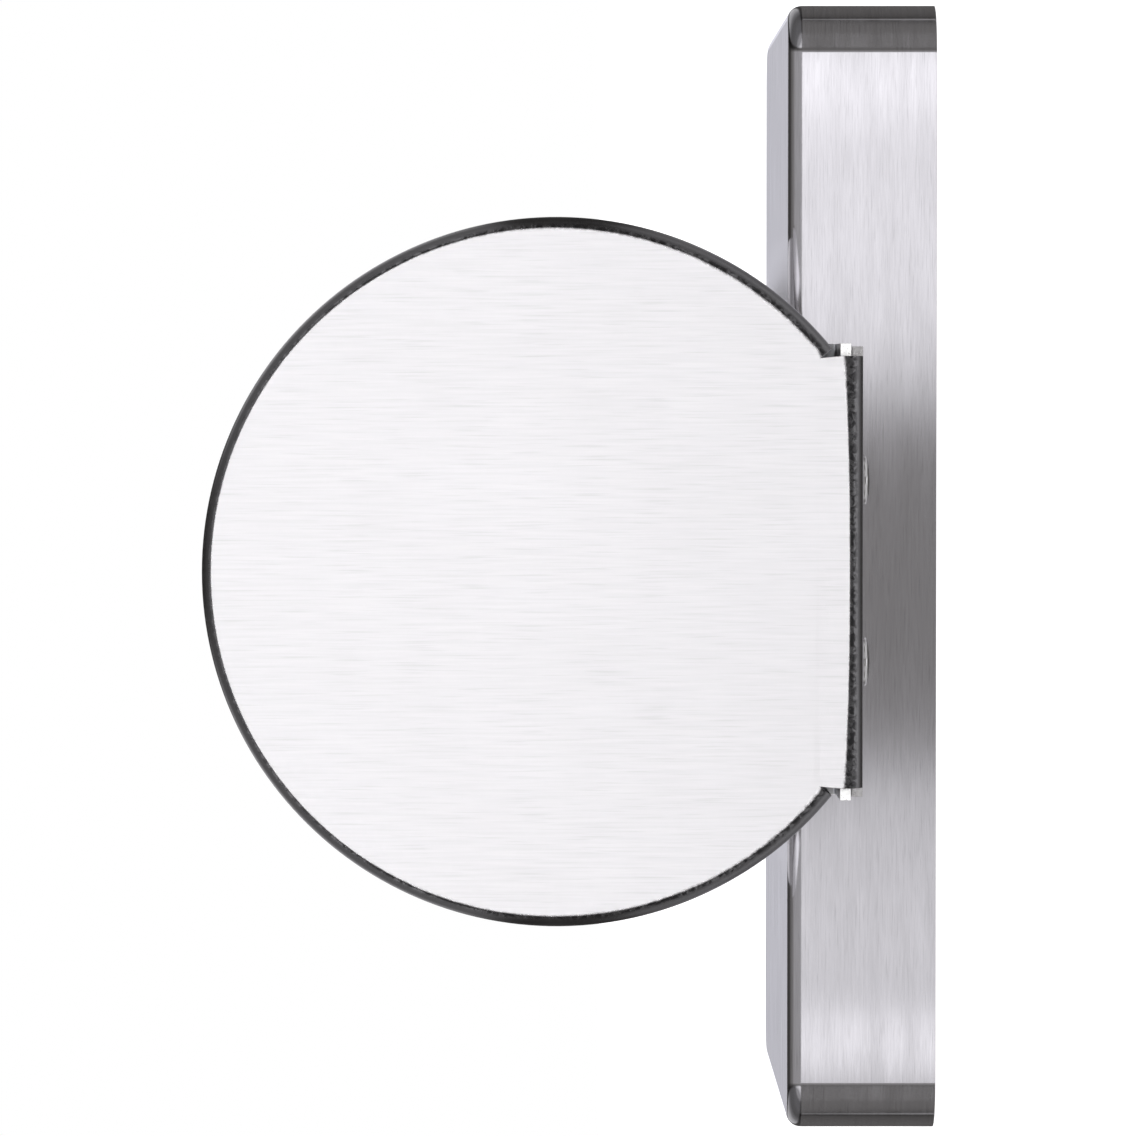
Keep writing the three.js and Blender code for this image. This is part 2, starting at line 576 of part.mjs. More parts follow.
function addBushing() {
  const bottom = bushingTop - BUSHING.depth;
  const topBore = BUTTON.radius + BUTTON.play;
  const lowBore = BUTTON.collar + CLEARANCE;
  const edge = BUSHING.flangeHeight / 3;
  const sleeve = turnedUpright([
    [lowBore, bottom], [BUSHING.radius, bottom], [BUSHING.radius, crown - 1], [BUSHING.flange, crown - 1],
    [BUSHING.flange, bushingTop - edge], [BUSHING.flange - edge, bushingTop], [topBore, bushingTop],
    [topBore, bushingStep], [lowBore, bushingStep],
  ]);
  // The flange's underside follows the shell, and the threaded neck goes on down through it.
  const shellSide = turned(rod(SHELL.radius + CONTACT, -BASE.width, BASE.width), ROUND_STEPS);
  const neckRoom = turnedUpright(rod(BUSHING.radius, -REACH, REACH));
  const underFlange = cut(shellSide, neckRoom).translate(0, 0, DRUM_AXIS_HEIGHT);
  addPart(base, 'button_bushing', cut(sleeve, underFlange), brushedSteel);

  // The flat nut bears on the shell's inside only at its two outer corners.
  const inside = SHELL.radius - SHELL.thickness;
  const nutCorner = BUSHING_NUT.flats / Math.sqrt(3);
  const nutTop = DRUM_AXIS_HEIGHT + Math.sqrt(inside ** 2 - nutCorner ** 2) - CONTACT;
  const nut = hexTube(BUSHING_NUT.flats, BUSHING_NUT.height, BUSHING.radius + CLEARANCE);
  addPart(base, 'bushing_nut', nut, brass, [0, 0, nutTop - BUSHING_NUT.height]);
}

function addReleaseButton() {
  const collarTop = bushingStep - CONTACT;
  const collarBottom = collarTop - BUTTON.collarHeight;
  const top = crown + BUTTON.proud;
  const edge = BUTTON.radius / 5;
  const stemEnd = switchTop - SWITCH.stemEntry;
  const button = turnedUpright([
    [0, stemEnd], [BUTTON.stem, stemEnd], [BUTTON.stem, collarBottom],
    [BUTTON.collar, collarBottom], [BUTTON.collar, collarTop], [BUTTON.radius, collarTop],
    [BUTTON.radius, top - edge], [BUTTON.radius - edge * 0.3, top - edge * 0.3],
    [BUTTON.radius - edge, top], [0, top],
  ]);
  addPart(base, 'release_button', button, redPlastic);
  const springBottom = switchTop + CONTACT;
  const spring = coilSpring(BUTTON_SPRING, collarBottom - CONTACT - springBottom);
  addPart(base, 'button_spring', spring, darkSteel, [0, 0, springBottom]);
}

function addSwitch() {
  const half = SWITCH.width / 2;
  const casing = block([-half, -half, switchBottom], [half, half, switchTop]);
  const stemHole = turnedUpright(rod(SWITCH.stemHole, switchTop - SWITCH.stemDepth, REACH));
  addPart(base, 'release_switch', cut(casing, stemHole), blackPlastic);
}

// ---- Connection board, its parts and its leads --------------------------------------------------

const boardRearY = BOARD.front - BOARD.length;

function addBoard() {
  const centreY = (BOARD.front + boardRearY) / 2;
  const under = deck + BOARD.height;
  const spacerY = [SPACER.frontY, SPACER.rearY];
  const spacerPlaces = spacerY.flatMap((y) => [[-SPACER.x, y], [SPACER.x, y]]);
  const outline = roundedRectangle(BOARD.width, BOARD.length, BOARD.corner);
  for (const [x, y] of spacerPlaces) outline.holes.push(circle(SPACER.hole, x, y - centreY));
  const board = prism(outline, BOARD.thickness, SCREW_STEPS);
  addPart(base, 'circuit_board', board, boardGreen, [0, centreY, under]);

  const foot = BOARD.height - CONTACT;
  const tip = BOARD.height + BOARD.thickness + SPACER.tip;
  spacerPlaces.forEach(([x, y], i) => {
    const spacer = turnedUpright([
      [0, 0], [SPACER.radius, 0], [SPACER.radius, foot], [SPACER.pin, foot],
      [SPACER.pin, tip - SPACER.tip / 2], [SPACER.pin * 0.4, tip], [0, tip],
    ], SCREW_STEPS);
    addPart(base, `board_spacer_${i + 1}`, spacer, whiteNylon, [x, y, deck]);
  });
}

function addTerminals() {
  const half = (TERMINAL.poles * TERMINAL.pitch) / 2 + TERMINAL.end;
  const rearY = boardRearY + TERMINAL.setback;
  const frontY = rearY + TERMINAL.depth;
  const top = landing + TERMINAL.height;
  const screwY = frontY - TERMINAL_WELL.fromFront;
  const wellFloor = top - TERMINAL_WELL.depth;
  const entryHalf = TERMINAL_ENTRY.width / 2;
  const middle = (TERMINAL.poles - 1) / 2;
  const poles = Array.from({ length: TERMINAL.poles }, (_, i) => (i - middle) * TERMINAL.pitch);
  const wells = drills(poles.map((x) => [x, screwY]), TERMINAL_WELL.radius, SCREW_STEPS, wellFloor);
  const entries = poles.map((x) => block(
    [x - entryHalf, rearY - 1, landing + TERMINAL_ENTRY.low],
    [x + entryHalf, rearY + TERMINAL_ENTRY.depth, landing + TERMINAL_ENTRY.high],
  ));
  const housing = cut(block([-half, rearY, landing], [half, frontY, top]), ...wells, ...entries);
  addPart(base, 'terminal_block', housing, greenPlastic);

  const { radius, height, slot, slotDepth } = TERMINAL_SCREW;
  const slotTool = block([-REACH, -slot / 2, height - slotDepth], [REACH, slot / 2, REACH]);
  poles.forEach((x, i) => {
    const screw = cut(turnedUpright(rod(radius, 0, height), SCREW_STEPS), slotTool);
    addPart(base, `terminal_screw_${i + 1}`, screw, zincSteel, [x, screwY, wellFloor + CONTACT]);
  });
}

function addBoardParts() {
  const { radius, thickness, height, legX, leg } = VARISTOR;
  const disc = prism(circle(radius), thickness).rotateX(Math.PI / 2).translate(0, thickness / 2, height);
  const legs = [-legX, legX].map((x) => block([x - leg / 2, -leg / 2, 0], [x + leg / 2, leg / 2, height]));
  addPart(base, 'surge_varistor', join(disc, ...legs), bluePlastic, [VARISTOR.x, VARISTOR.y, landing]);

  const grooveZ = CAPACITOR.height / 6;
  const { groove } = CAPACITOR;
  const can = turnedUpright([
    [0, 0], [CAPACITOR.radius, 0], [CAPACITOR.radius, grooveZ - groove], [CAPACITOR.radius - groove, grooveZ],
    [CAPACITOR.radius, grooveZ + groove], [CAPACITOR.radius, CAPACITOR.height - groove],
    [CAPACITOR.radius - groove, CAPACITOR.height], [0, CAPACITOR.height],
  ]);
  addPart(base, 'smoothing_capacitor', can, blackPlastic, [CAPACITOR.x, CAPACITOR.y, landing]);
}

// Two leads from the coil and two from the switch, each pair ending on the board's front edge.
function addLeads() {
  const axis = DRUM_AXIS_HEIGHT;
  for (const [name, side] of sides) {
    const coilRoute = [
      [side * coilLeadX, magnetBackY + MAGNET.back - CLEARANCE, axis],
      [side * coilLeadX, magnetBackY - 5, axis],
      [side * 15, 2, axis - 2],
      [side * 13, -12, axis - 6],
      [side * 6.5, -18.5, landing + 5],
      [side * 6.2, -18.8, landing],
    ];
    addPart(base, `coil_lead_${name}`, lead(coilRoute), side > 0 ? redInsulation : blackRubber);
    const switchRoute = [
      [side * 3, 0, switchBottom - CONTACT],
      [side * 3, -1, switchBottom - 7],
      [side * 3.2, -12, axis - 4],
      [side * 2, -18.4, landing + 5],
      [side * 2, -18.8, landing],
    ];
    addPart(base, `switch_lead_${name}`, lead(switchRoute), bluePlastic);
  }
}

// ---- Assembly -----------------------------------------------------------------------------------

addBasePlate();
addPosts();
addBaseCover();
addCableGrommet();
addChassis();
addShell();
addCaps();
addMagnetBracket();
addPotAndCore();
addCoil();
addMagnetBolt();
addEjector();
addBushing();
addReleaseButton();
addSwitch();
addBoard();
addTerminals();
addBoardParts();
addLeads();

export default holder;
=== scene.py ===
"""The looks of a floor-mounted electromagnetic door holder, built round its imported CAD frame.

Sheet-metal pieces, screws, nuts, turned parts and springs are modelled here as smooth meshes that stand for
their CAD nodes. The other CAD nodes stay and get soft edges. Every material is procedural.
"""

import json
from math import asin, cos, hypot, pi, radians, sin, tan

import bmesh
import bpy
from mathutils import Matrix, Vector
from mathutils.geometry import tessellate_polygon

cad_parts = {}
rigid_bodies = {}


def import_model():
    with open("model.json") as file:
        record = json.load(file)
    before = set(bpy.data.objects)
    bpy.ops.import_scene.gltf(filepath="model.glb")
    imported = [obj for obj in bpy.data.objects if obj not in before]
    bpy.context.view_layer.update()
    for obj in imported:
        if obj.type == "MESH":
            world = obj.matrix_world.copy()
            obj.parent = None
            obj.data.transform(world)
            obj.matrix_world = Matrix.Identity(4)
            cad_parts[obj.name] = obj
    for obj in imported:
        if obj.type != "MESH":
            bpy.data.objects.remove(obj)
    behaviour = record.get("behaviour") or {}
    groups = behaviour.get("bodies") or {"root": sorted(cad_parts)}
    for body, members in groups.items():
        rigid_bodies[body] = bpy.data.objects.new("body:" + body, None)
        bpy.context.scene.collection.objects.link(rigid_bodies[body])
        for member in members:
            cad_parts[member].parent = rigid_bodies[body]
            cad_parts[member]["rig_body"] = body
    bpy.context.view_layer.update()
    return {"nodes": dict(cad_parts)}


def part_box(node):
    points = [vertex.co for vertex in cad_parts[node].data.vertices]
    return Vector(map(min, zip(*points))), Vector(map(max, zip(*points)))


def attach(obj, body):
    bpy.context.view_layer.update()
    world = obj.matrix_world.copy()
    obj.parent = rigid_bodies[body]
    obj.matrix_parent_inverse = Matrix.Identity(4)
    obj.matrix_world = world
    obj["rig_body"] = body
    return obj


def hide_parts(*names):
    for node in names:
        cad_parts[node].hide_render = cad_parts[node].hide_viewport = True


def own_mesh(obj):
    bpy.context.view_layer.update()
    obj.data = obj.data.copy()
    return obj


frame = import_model()
NODES = frame["nodes"]

MM = 0.001
SIDES = ("left", "right")


def low(node):
    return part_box(node)[0]


def high(node):
    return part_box(node)[1]


def middle(node):
    return (low(node) + high(node)) / 2


def above_middle(node, z):
    """The place at height z in line with the node's middle."""
    centre = middle(node)
    return Vector((centre.x, centre.y, z))


# ---- Sizes, in metres -----------------------------------------------------------------------------

SHEET = 1.1 * MM
SHELL_THICKNESS = 1.0 * MM
CONTACT = 0.1 * MM  # gap between parts that rest on each other
CLEARANCE = 0.3 * MM  # gap between the cover's wall and the chassis
PAN_BEND = 1.5 * MM
PAN_CORNER = 5.0 * MM
CAP_BEND = 1.4 * MM
CHORD_BEND = 2.0 * MM
SADDLE_BEND = 0.3 * MM  # inside radius of the chassis bends
CUT_EDGE_ROUND = 0.2 * MM
SADDLE_EDGE_ROUND = 0.3 * MM
NODE_EDGE_ROUND = 0.12 * MM

BOLT_HOLE = 2.3 * MM
CABLE_HOLE = 6.8 * MM
SCREW_HOLE = 1.75 * MM
BUSHING_HOLE = 6.3 * MM
WINDOW_MARGIN = 1.0 * MM

NECK_HALF = 21.5 * MM  # half the width of the cap's face where it runs down to the chord flange
ARC_BAND = (0.78 * MM, 1.3 * MM)  # how far the bend is ground flat, at the crown and at the chord
CHORD_BAND = (1.2 * MM, 1.85 * MM)  # the same for the chord's bend, in the middle and at the ends
PLAIN_BAND = 0.62 * MM  # the part of a bend, from its outer edge, that has no scuffs
SCUFF_FADE = 0.25 * MM
SCUFF_WIDTH = 0.3 * MM
EAR_SETBACK = 0.3 * MM
EAR_STEP = 0.04 * MM  # keeps the ears' front edges off the line of the flange's first row

PAN_CORNER_STEPS = 12
PAN_SIDE_STEPS = 10
BEND_STEPS = 8
ARC_STEPS = 168
NECK_STEPS = 24
SADDLE_STEPS = 16

# Colour scale that paints a dark reflection onto the caps' bends.
BEND_PAINTED_REFLECTION_TONE = 0.24
# Colour scale that paints shade onto the doubly curved corners of the sheet.
CORNER_PAINTED_SHADE_TONE = 0.3

PAN_HIGH = high("base_cover")
DRUM_AXIS_Z = middle("magnet_pot").z
DRUM_CENTRE = Vector((0, 0, DRUM_AXIS_Z))
CAP_RADIUS = high("rear_cap").z - DRUM_AXIS_Z
CAP_FACE_Y = high("front_cap").y
CAP_OPEN_Y = low("front_cap").y
CHORD_Z = low("rear_cap").z
EAR_HALF = high("chassis").x
ARC_END_ANGLE = radians(-50.9)

# ---- Material building ------------------------------------------------------------------------------


class Nodes:
    """A node tree under construction. Each method adds nodes and returns the output to use."""

    def __init__(self, tree):
        self.tree = tree

    def feed(self, socket, value):
        if isinstance(value, bpy.types.NodeSocket):
            self.tree.links.new(value, socket)
        elif socket.type == "RGBA":
            socket.default_value = (*value, 1.0)
        else:
            socket.default_value = value

    def node(self, kind, inputs=(), output=0, **settings):
        made = self.tree.nodes.new(kind)
        for name, value in settings.items():
            setattr(made, name, value)
        for name, value in dict(inputs).items():
            self.feed(made.inputs[name], value)
        return made.outputs[output] if made.outputs else None

    def maths(self, operation, a, b=0.0):
        return self.node("ShaderNodeMath", {0: a, 1: b}, operation=operation)

    def add(self, a, b):
        return self.maths("ADD", a, b)

    def times(self, a, b):
        return self.maths("MULTIPLY", a, b)

    def spread(self, value, start, end, to_start=0.0, to_end=1.0):
        """The range from start to end, mapped to the range from to_start to to_end."""
        return self.node("ShaderNodeMapRange", {"Value": value, "From Min": start, "From Max": end,
                                                "To Min": to_start, "To Max": to_end})

    def axes(self, vector):
        return [self.node("ShaderNodeSeparateXYZ", {0: vector}, output=axis) for axis in "XYZ"]


class Shader(Nodes):
    """A surface material. Sizes and depths are in millimetres, and colours are (red, green, blue)."""

    def __init__(self, name):
        self.material = bpy.data.materials.new(name)
        self.material.use_nodes = True
        super().__init__(self.material.node_tree)
        self.surface = next(n for n in self.tree.nodes if n.type == "BSDF_PRINCIPLED")

    def set(self, **inputs):
        for name, value in inputs.items():
            self.feed(self.surface.inputs[name.replace("_", " ").title()], value)

    def place(self):
        return self.node("ShaderNodeTexCoord", output="Object")

    def grain_map(self):
        return self.node("ShaderNodeUVMap", uv_map="grain")

    def stretch(self, vector, cells, shift=(0, 0, 0)):
        """The vector measured in cells of the given sizes."""
        scale = [0 if size == 0 else 1 / (size * MM) for size in cells]
        return self.node("ShaderNodeMapping", {"Vector": vector, "Scale": scale, "Location": shift})

    def cells(self, size, shift=(0, 0, 0)):
        """The object's own space in cells of one size, or of a size for each axis."""
        return self.stretch(self.place(), size if isinstance(size, tuple) else (size,) * 3, shift)

    def noise(self, vector, detail, rough, distortion=0.0):
        return self.node("ShaderNodeTexNoise", {"Vector": vector, "Scale": 1.0, "Detail": detail,
                                                "Roughness": rough, "Distortion": distortion})

    def pores(self, size):
        return self.node("ShaderNodeTexVoronoi", {"Vector": self.cells(size), "Scale": 1.0})

    def vary(self, noise, least, most):
        """The part of a noise's range that it mostly keeps to, mapped from least to most."""
        return self.spread(noise, 0.3, 0.7, least, most)

    def mix(self, a, b, factor, blend="MIX"):
        made = self.tree.nodes.new("ShaderNodeMix")
        made.data_type, made.blend_type = "RGBA", blend
        self.feed(made.inputs["Factor"], factor)
        for side, colour in (("A", a), ("B", b)):
            self.feed(next(s for s in made.inputs if s.name == side and s.type == "RGBA"), colour)
        return next(s for s in made.outputs if s.type == "RGBA")

    def tint(self, colour, *amounts):
        """A colour scaled by grey amounts, one after another."""
        for amount in amounts:
            grey = self.node("ShaderNodeCombineColor", {0: amount, 1: amount, 2: amount})
            colour = self.mix(colour, grey, 1.0, "MULTIPLY")
        return colour

    def bump(self, height, depth, normal=None):
        """Height from 0 to 1, as a relief of that depth."""
        inputs = {"Height": height, "Distance": depth * MM, "Strength": 1.0}
        if normal is not None:
            inputs["Normal"] = normal
        return self.node("ShaderNodeBump", inputs)

    def worn_edge(self, amount):
        """The amount on outer edges and 0 elsewhere."""
        pointed = self.node("ShaderNodeNewGeometry", output="Pointiness")
        return self.times(self.spread(pointed, 0.505, 0.55), amount)


def brushed_steel(name, tone, roughness, anisotropy, line, wave, contrast=1.0, matt=0.0, ridge=0.003):
    """Brushed sheet with its grain along the U axis of the "grain" map.

    line is the (length, width) of the brush lines. wave is the depth of the sheet's slow waviness, and ridge
    that of the lines. contrast scales how much the lines darken the tone. Where matt isn't 0, faces
    square to Y scatter that share of the light, and the bends beside them get a painted dark reflection in
    their colour. Where matt is 0, the colour is darkened on doubly curved corners, a painted shade.
    """
    m = Shader(name)
    grain = m.grain_map()

    def lines(long, wide, detail, rough, shift=(0, 0, 0)):
        """Noise along the grain, with its size in lengths and widths of the brush lines."""
        return m.noise(m.stretch(grain, (line[0] * long, line[1] * wide, 0), shift), detail, rough)

    fine = lines(1, 0.35, 3, 0.65)
    strokes = lines(1.6, 1, 2, 0.5, (3.1, 7.7, 0))
    streaks = lines(5, 7, 2, 0.45, (1.3, 2.9, 0))
    scratches = lines(1.2, 0.55, 1, 0.4, (9.1, 4.4, 0))
    ridges = lines(8, 0.35, 2, 0.5, (5.5, 0.7, 0))
    bend = m.node("ShaderNodeAttribute", output="Fac", attribute_name="bend")
    scuff = m.noise(m.cells(0.55), 3, 0.6, distortion=0.6)
    scuffed = m.times(bend, m.spread(scuff, 0.42, 0.56))
    amounts = [m.vary(strokes, 1 - 0.035 * contrast, 1.01),
               m.spread(scratches, 0.26, 0.42, 1 - 0.06 * contrast, 1.0),
               m.vary(streaks, 0.99, 1.0),
               m.spread(m.noise(m.cells(26), 2, 0.5), 0.35, 0.65, 0.985, 1.0),
               m.spread(scuffed, 0, 1, 1.0, 0.3)]
    facing_x, facing_y, facing_z = m.axes(m.node("ShaderNodeNewGeometry", output="Normal"))
    if matt:
        flat = m.maths("ABSOLUTE", facing_y)
        m.set(metallic=m.spread(flat, 0.99, 0.999, 1.0, 1.0 - matt))
        # Painted dark reflection: bends that turn away from Y are darkened in colour, and faces square to Y
        # are not.
        amounts.append(m.add(m.spread(flat, 0.08, 0.3, 1.0, BEND_PAINTED_REFLECTION_TONE),
                             m.spread(flat, 0.99, 0.999, 0.0, 1.0 - BEND_PAINTED_REFLECTION_TONE)))
    else:
        m.set(metallic=1.0)
        # Painted shade: where the normal leans along all three axes, on the doubly curved corners, the colour
        # is darkened.
        doubly_bent = m.maths("ABSOLUTE", m.times(m.times(facing_x, facing_y), facing_z))
        amounts.append(m.spread(doubly_bent, 0.004, 0.04, 1.0, CORNER_PAINTED_SHADE_TONE))
    m.set(base_color=m.tint(tone, *amounts))
    rough = m.add(m.vary(fine, roughness * 0.9, roughness * 1.12), m.vary(streaks, -0.012, 0.02))
    m.set(roughness=m.add(rough, m.spread(scuffed, 0, 1, 0.0, 0.16)))
    normal = m.bump(ridges, ridge, m.bump(m.noise(m.cells(30), 1, 0.4), wave))
    m.set(normal=m.bump(m.times(bend, scuff), 0.05, normal))
    m.set(anisotropic=anisotropy, anisotropic_rotation=0.25)
    m.set(tangent=m.node("ShaderNodeTangent", direction_type="UV_MAP", uv_map="grain"))
    return m.material


def sheared_edge(name, tone, metal):
    """The cut edge of a sheet: burnished near one face and torn near the other."""
    m = Shader(name)
    torn = m.noise(m.stretch(m.grain_map(), (0.35, 1.5, 0)), 3, 0.6)
    fleck = m.noise(m.cells(0.3), 2, 0.6)
    m.set(base_color=m.tint(tone, m.vary(torn, 0.82, 1.0), m.vary(fleck, 0.9, 1.0)))
    m.set(metallic=metal, roughness=m.vary(fleck, 0.22, 0.48), normal=m.bump(torn, 0.05))
    return m.material


def plated_steel(name, colour, roughness, grain_size=2.2):
    """Zinc or nickel plate: faint clouds, fine pits, handling scratches and brighter worn edges."""
    m = Shader(name)
    cloud = m.noise(m.cells(6), 3, 0.55, distortion=0.4)
    grain = m.noise(m.cells(grain_size), 3, 0.6)
    scratched = m.spread(m.noise(m.cells((9, 0.25, 0.25), (2, 5, 1)), 2, 0.5), 0.66, 0.72)
    body = m.tint(colour, m.vary(cloud, 0.9, 1.03), m.vary(grain, 0.95, 1.02))
    m.set(base_color=m.mix(body, (0.86, 0.85, 0.84), m.worn_edge(0.7)), metallic=1.0)
    m.set(roughness=m.add(m.vary(cloud, roughness * 0.85, roughness * 1.2),
                          m.spread(scratched, 0, 1, 0.0, 0.12)))
    m.set(normal=m.bump(scratched, -0.004, m.bump(m.pores(0.35), 0.003, m.bump(grain, 0.006))))
    return m.material


def turned_metal(name, colour, roughness, pitch, wear=(0.9, 0.89, 0.87)):
    """Metal turned on a lathe about the drum's axis: fine rings, with the colour and polish wavering."""
    m = Shader(name)
    from_centre = m.node("ShaderNodeVectorMath", {0: m.place(), 1: DRUM_CENTRE}, operation="SUBTRACT")
    across = m.node("ShaderNodeVectorMath", {0: from_centre, 1: (1, 0, 1)}, operation="MULTIPLY")
    radius = m.node("ShaderNodeVectorMath", {0: across}, output="Value", operation="LENGTH")
    rings_at = m.node("ShaderNodeCombineXYZ", {0: radius, 1: m.axes(from_centre)[1], 2: 0.0})
    rings = m.noise(m.stretch(rings_at, (pitch, pitch, 0)), 3, 0.7)
    broad = m.noise(m.stretch(rings_at, (pitch * 9, pitch * 9, 0)), 2, 0.5)
    cloud = m.noise(m.cells(5), 3, 0.55)
    body = m.tint(colour, m.vary(rings, 0.86, 1.04), m.vary(cloud, 0.92, 1.02))
    m.set(base_color=m.mix(body, wear, m.worn_edge(0.6)), metallic=1.0)
    m.set(roughness=m.add(m.vary(rings, roughness * 0.8, roughness * 1.25), m.vary(cloud, -0.03, 0.05)))
    m.set(normal=m.bump(broad, 0.012, m.bump(rings, 0.008)))
    return m.material


def moulded(name, colour, roughness, texture=0.35, depth=0.006, coat=0.0, subsurface=0.0):
    """Moulded plastic: spark-eroded texture, flow clouds, dust in the grain and paler rubbed edges."""
    m = Shader(name)
    eroded = m.noise(m.cells(texture), 3, 0.6)
    flow = m.noise(m.cells((7, 7, 11)), 3, 0.5, distortion=1.2)
    dust = m.spread(m.noise(m.cells(1.4, (4, 1, 6)), 4, 0.7), 0.62, 0.8)
    body = m.tint(colour, m.vary(flow, 0.9, 1.06), m.vary(eroded, 0.93, 1.03))
    body = m.mix(body, [min(1.0, c * 1.25 + 0.06) for c in colour], m.worn_edge(0.55))
    m.set(base_color=m.mix(body, (0.55, 0.53, 0.5), m.times(dust, 0.05)))
    m.set(coat_weight=coat, subsurface_weight=subsurface, subsurface_scale=0.001)
    m.set(roughness=m.add(m.vary(eroded, roughness * 0.85, roughness * 1.15), m.vary(flow, -0.04, 0.05)))
    m.set(normal=m.bump(flow, 0.01, m.bump(eroded, depth)))
    return m.material


def rubber(name):
    m = Shader(name)
    skin = m.noise(m.cells(0.5), 4, 0.65)
    bloom = m.noise(m.cells(4), 3, 0.6)
    m.set(base_color=m.mix((0.022, 0.022, 0.023), (0.07, 0.068, 0.066), m.spread(bloom, 0.45, 0.75)))
    m.set(roughness=m.vary(skin, 0.62, 0.85), sheen_weight=0.15, normal=m.bump(skin, 0.02))
    return m.material


def cast_resin(name):
    """Potting compound: cast level, with slow ripples, tiny bubbles and a little dust."""
    m = Shader(name)
    ripple = m.noise(m.cells(5), 2, 0.5)
    pock = m.spread(m.pores(1.3), 0.0, 0.16, 1.0, 0.0)
    dust = m.spread(m.noise(m.cells(0.5), 4, 0.7), 0.55, 0.8)
    m.set(base_color=m.mix((0.018, 0.018, 0.021), (0.16, 0.15, 0.14), m.times(dust, 0.35)))
    m.set(roughness=m.add(m.vary(ripple, 0.2, 0.34), m.times(dust, 0.2)))
    m.set(normal=m.bump(ripple, 0.12, m.bump(pock, -0.03)))
    return m.material


def wound_copper(name):
    """Enamelled wire laid in turns side by side along Y, with painted shade darkening each turn towards its
    neighbours.
    """
    m = Shader(name)
    wobble = m.noise(m.cells(4), 2, 0.5)
    phase = m.add(m.axes(m.cells(0.35))[1], m.vary(wobble, -0.4, 0.4))
    round_wire_and_shade = m.maths("POWER", m.spread(m.maths("PINGPONG", phase, 0.5), 0, 0.5), 0.5)
    enamel = m.noise(m.cells(2), 3, 0.6)
    # Painted shade: the colour falls to a quarter in the grooves between turns.
    body = m.tint((0.66, 0.3, 0.13), m.spread(round_wire_and_shade, 0, 1, 0.25, 1.0), m.vary(enamel, 0.85, 1.05))
    m.set(base_color=body, metallic=0.9, coat_weight=0.6, coat_roughness=0.2)
    m.set(roughness=m.vary(enamel, 0.24, 0.42), normal=m.bump(round_wire_and_shade, 0.16))
    return m.material


def board_face(name):
    """Green solder mask over glass weave, with paler copper tracks under it."""
    m = Shader(name)
    tracks = m.node("ShaderNodeTexBrick", {
        "Vector": m.cells(9), "Scale": 1.0, "Color1": (1, 1, 1), "Color2": (0.6, 0.6, 0.6),
        "Mortar": (0, 0, 0), "Mortar Size": 0.045, "Row Height": 0.31, "Brick Width": 0.74}, output="Fac")
    weave = m.times(*(m.node("ShaderNodeTexWave", {"Vector": m.cells(1.1), "Scale": 1.0}, output="Fac",
                             bands_direction=axis) for axis in "XY"))
    stain = m.noise(m.cells(5), 3, 0.6)
    body = m.mix((0.012, 0.15, 0.06), (0.05, 0.3, 0.12), tracks)
    body = m.tint(body, m.vary(stain, 0.85, 1.08), m.spread(weave, 0, 1, 0.94, 1.03))
    m.set(base_color=body, roughness=m.vary(stain, 0.22, 0.4), coat_weight=0.4)
    m.set(normal=m.bump(weave, 0.006, m.bump(tracks, 0.03)))
    return m.material


def wire_skin(name, colour):
    """Extruded insulation: faint lines and scuffs."""
    m = Shader(name)
    lines = m.noise(m.cells((0.3, 2.5, 2.5)), 3, 0.6)
    scuff = m.spread(m.noise(m.cells(1.6), 4, 0.7), 0.55, 0.75)
    body = m.tint(colour, m.vary(lines, 0.88, 1.05))
    m.set(base_color=m.mix(body, [c * 0.8 + 0.16 for c in colour], m.times(scuff, 0.3)))
    m.set(roughness=m.add(m.vary(lines, 0.34, 0.5), m.times(scuff, 0.15)), normal=m.bump(lines, 0.01))
    return m.material


# Blender numbers a material whose name the CAD frame already has, so the key is the name before the dot.
MATERIALS = {material.name.split(".")[0]: material for material in (
    brushed_steel("cover_steel", (0.83, 0.82, 0.85), 0.10, 1.0, (2.5, 0.25), 0.01, 1.8, ridge=0.0004),
    brushed_steel("shell_steel", (0.83, 0.82, 0.84), 0.24, 0.9, (5, 0.30), 0.03),
    brushed_steel("cap_steel", (0.94, 0.93, 0.95), 0.2, 1.0, (5, 0.3), 0.0, 1.6, matt=0.3),
    plated_steel("screw_steel", (0.80, 0.80, 0.80), 0.2),
    plated_steel("zinc_steel", (0.68, 0.70, 0.73), 0.33),
    plated_steel("spring_steel", (0.34, 0.35, 0.37), 0.3, (0.2, 0.2, 1.5)),
    turned_metal("magnet_iron", (0.56, 0.56, 0.57), 0.27, 0.16),
    wound_copper("copper_wire"),
    turned_metal("brass", (0.74, 0.55, 0.22), 0.26, 0.12, (0.93, 0.78, 0.45)),
    rubber("black_rubber"),
    moulded("white_nylon", (0.78, 0.76, 0.70), 0.42, 0.5, 0.008, subsurface=0.15),
    cast_resin("potting_resin"),
    moulded("red_plastic", (0.52, 0.022, 0.016), 0.3, 0.5, 0.004, coat=0.25),
    moulded("black_plastic", (0.025, 0.025, 0.028), 0.48),
    moulded("green_plastic", (0.03, 0.26, 0.09), 0.42),
    moulded("blue_plastic", (0.02, 0.06, 0.32), 0.3, 1.2, 0.03, coat=0.4),
    board_face("board_green"),
    wire_skin("black_insulation", (0.015, 0.015, 0.016)),
    wire_skin("red_insulation", (0.4, 0.016, 0.012)),
    wire_skin("blue_insulation", (0.02, 0.06, 0.3)),
)}
CUT_EDGE = sheared_edge("sheared_edge", (0.78, 0.77, 0.77), 0.9)
ZINC_EDGE = sheared_edge("zinc_edge", (0.97, 0.97, 0.96), 0.55)

# ---- Mesh building ----------------------------------------------------------------------------------


def finish_piece(obj, node):
    """The piece stands for its CAD node and moves with that node's body."""
    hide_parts(node)
    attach(obj, NODES[node]["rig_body"])
    return obj


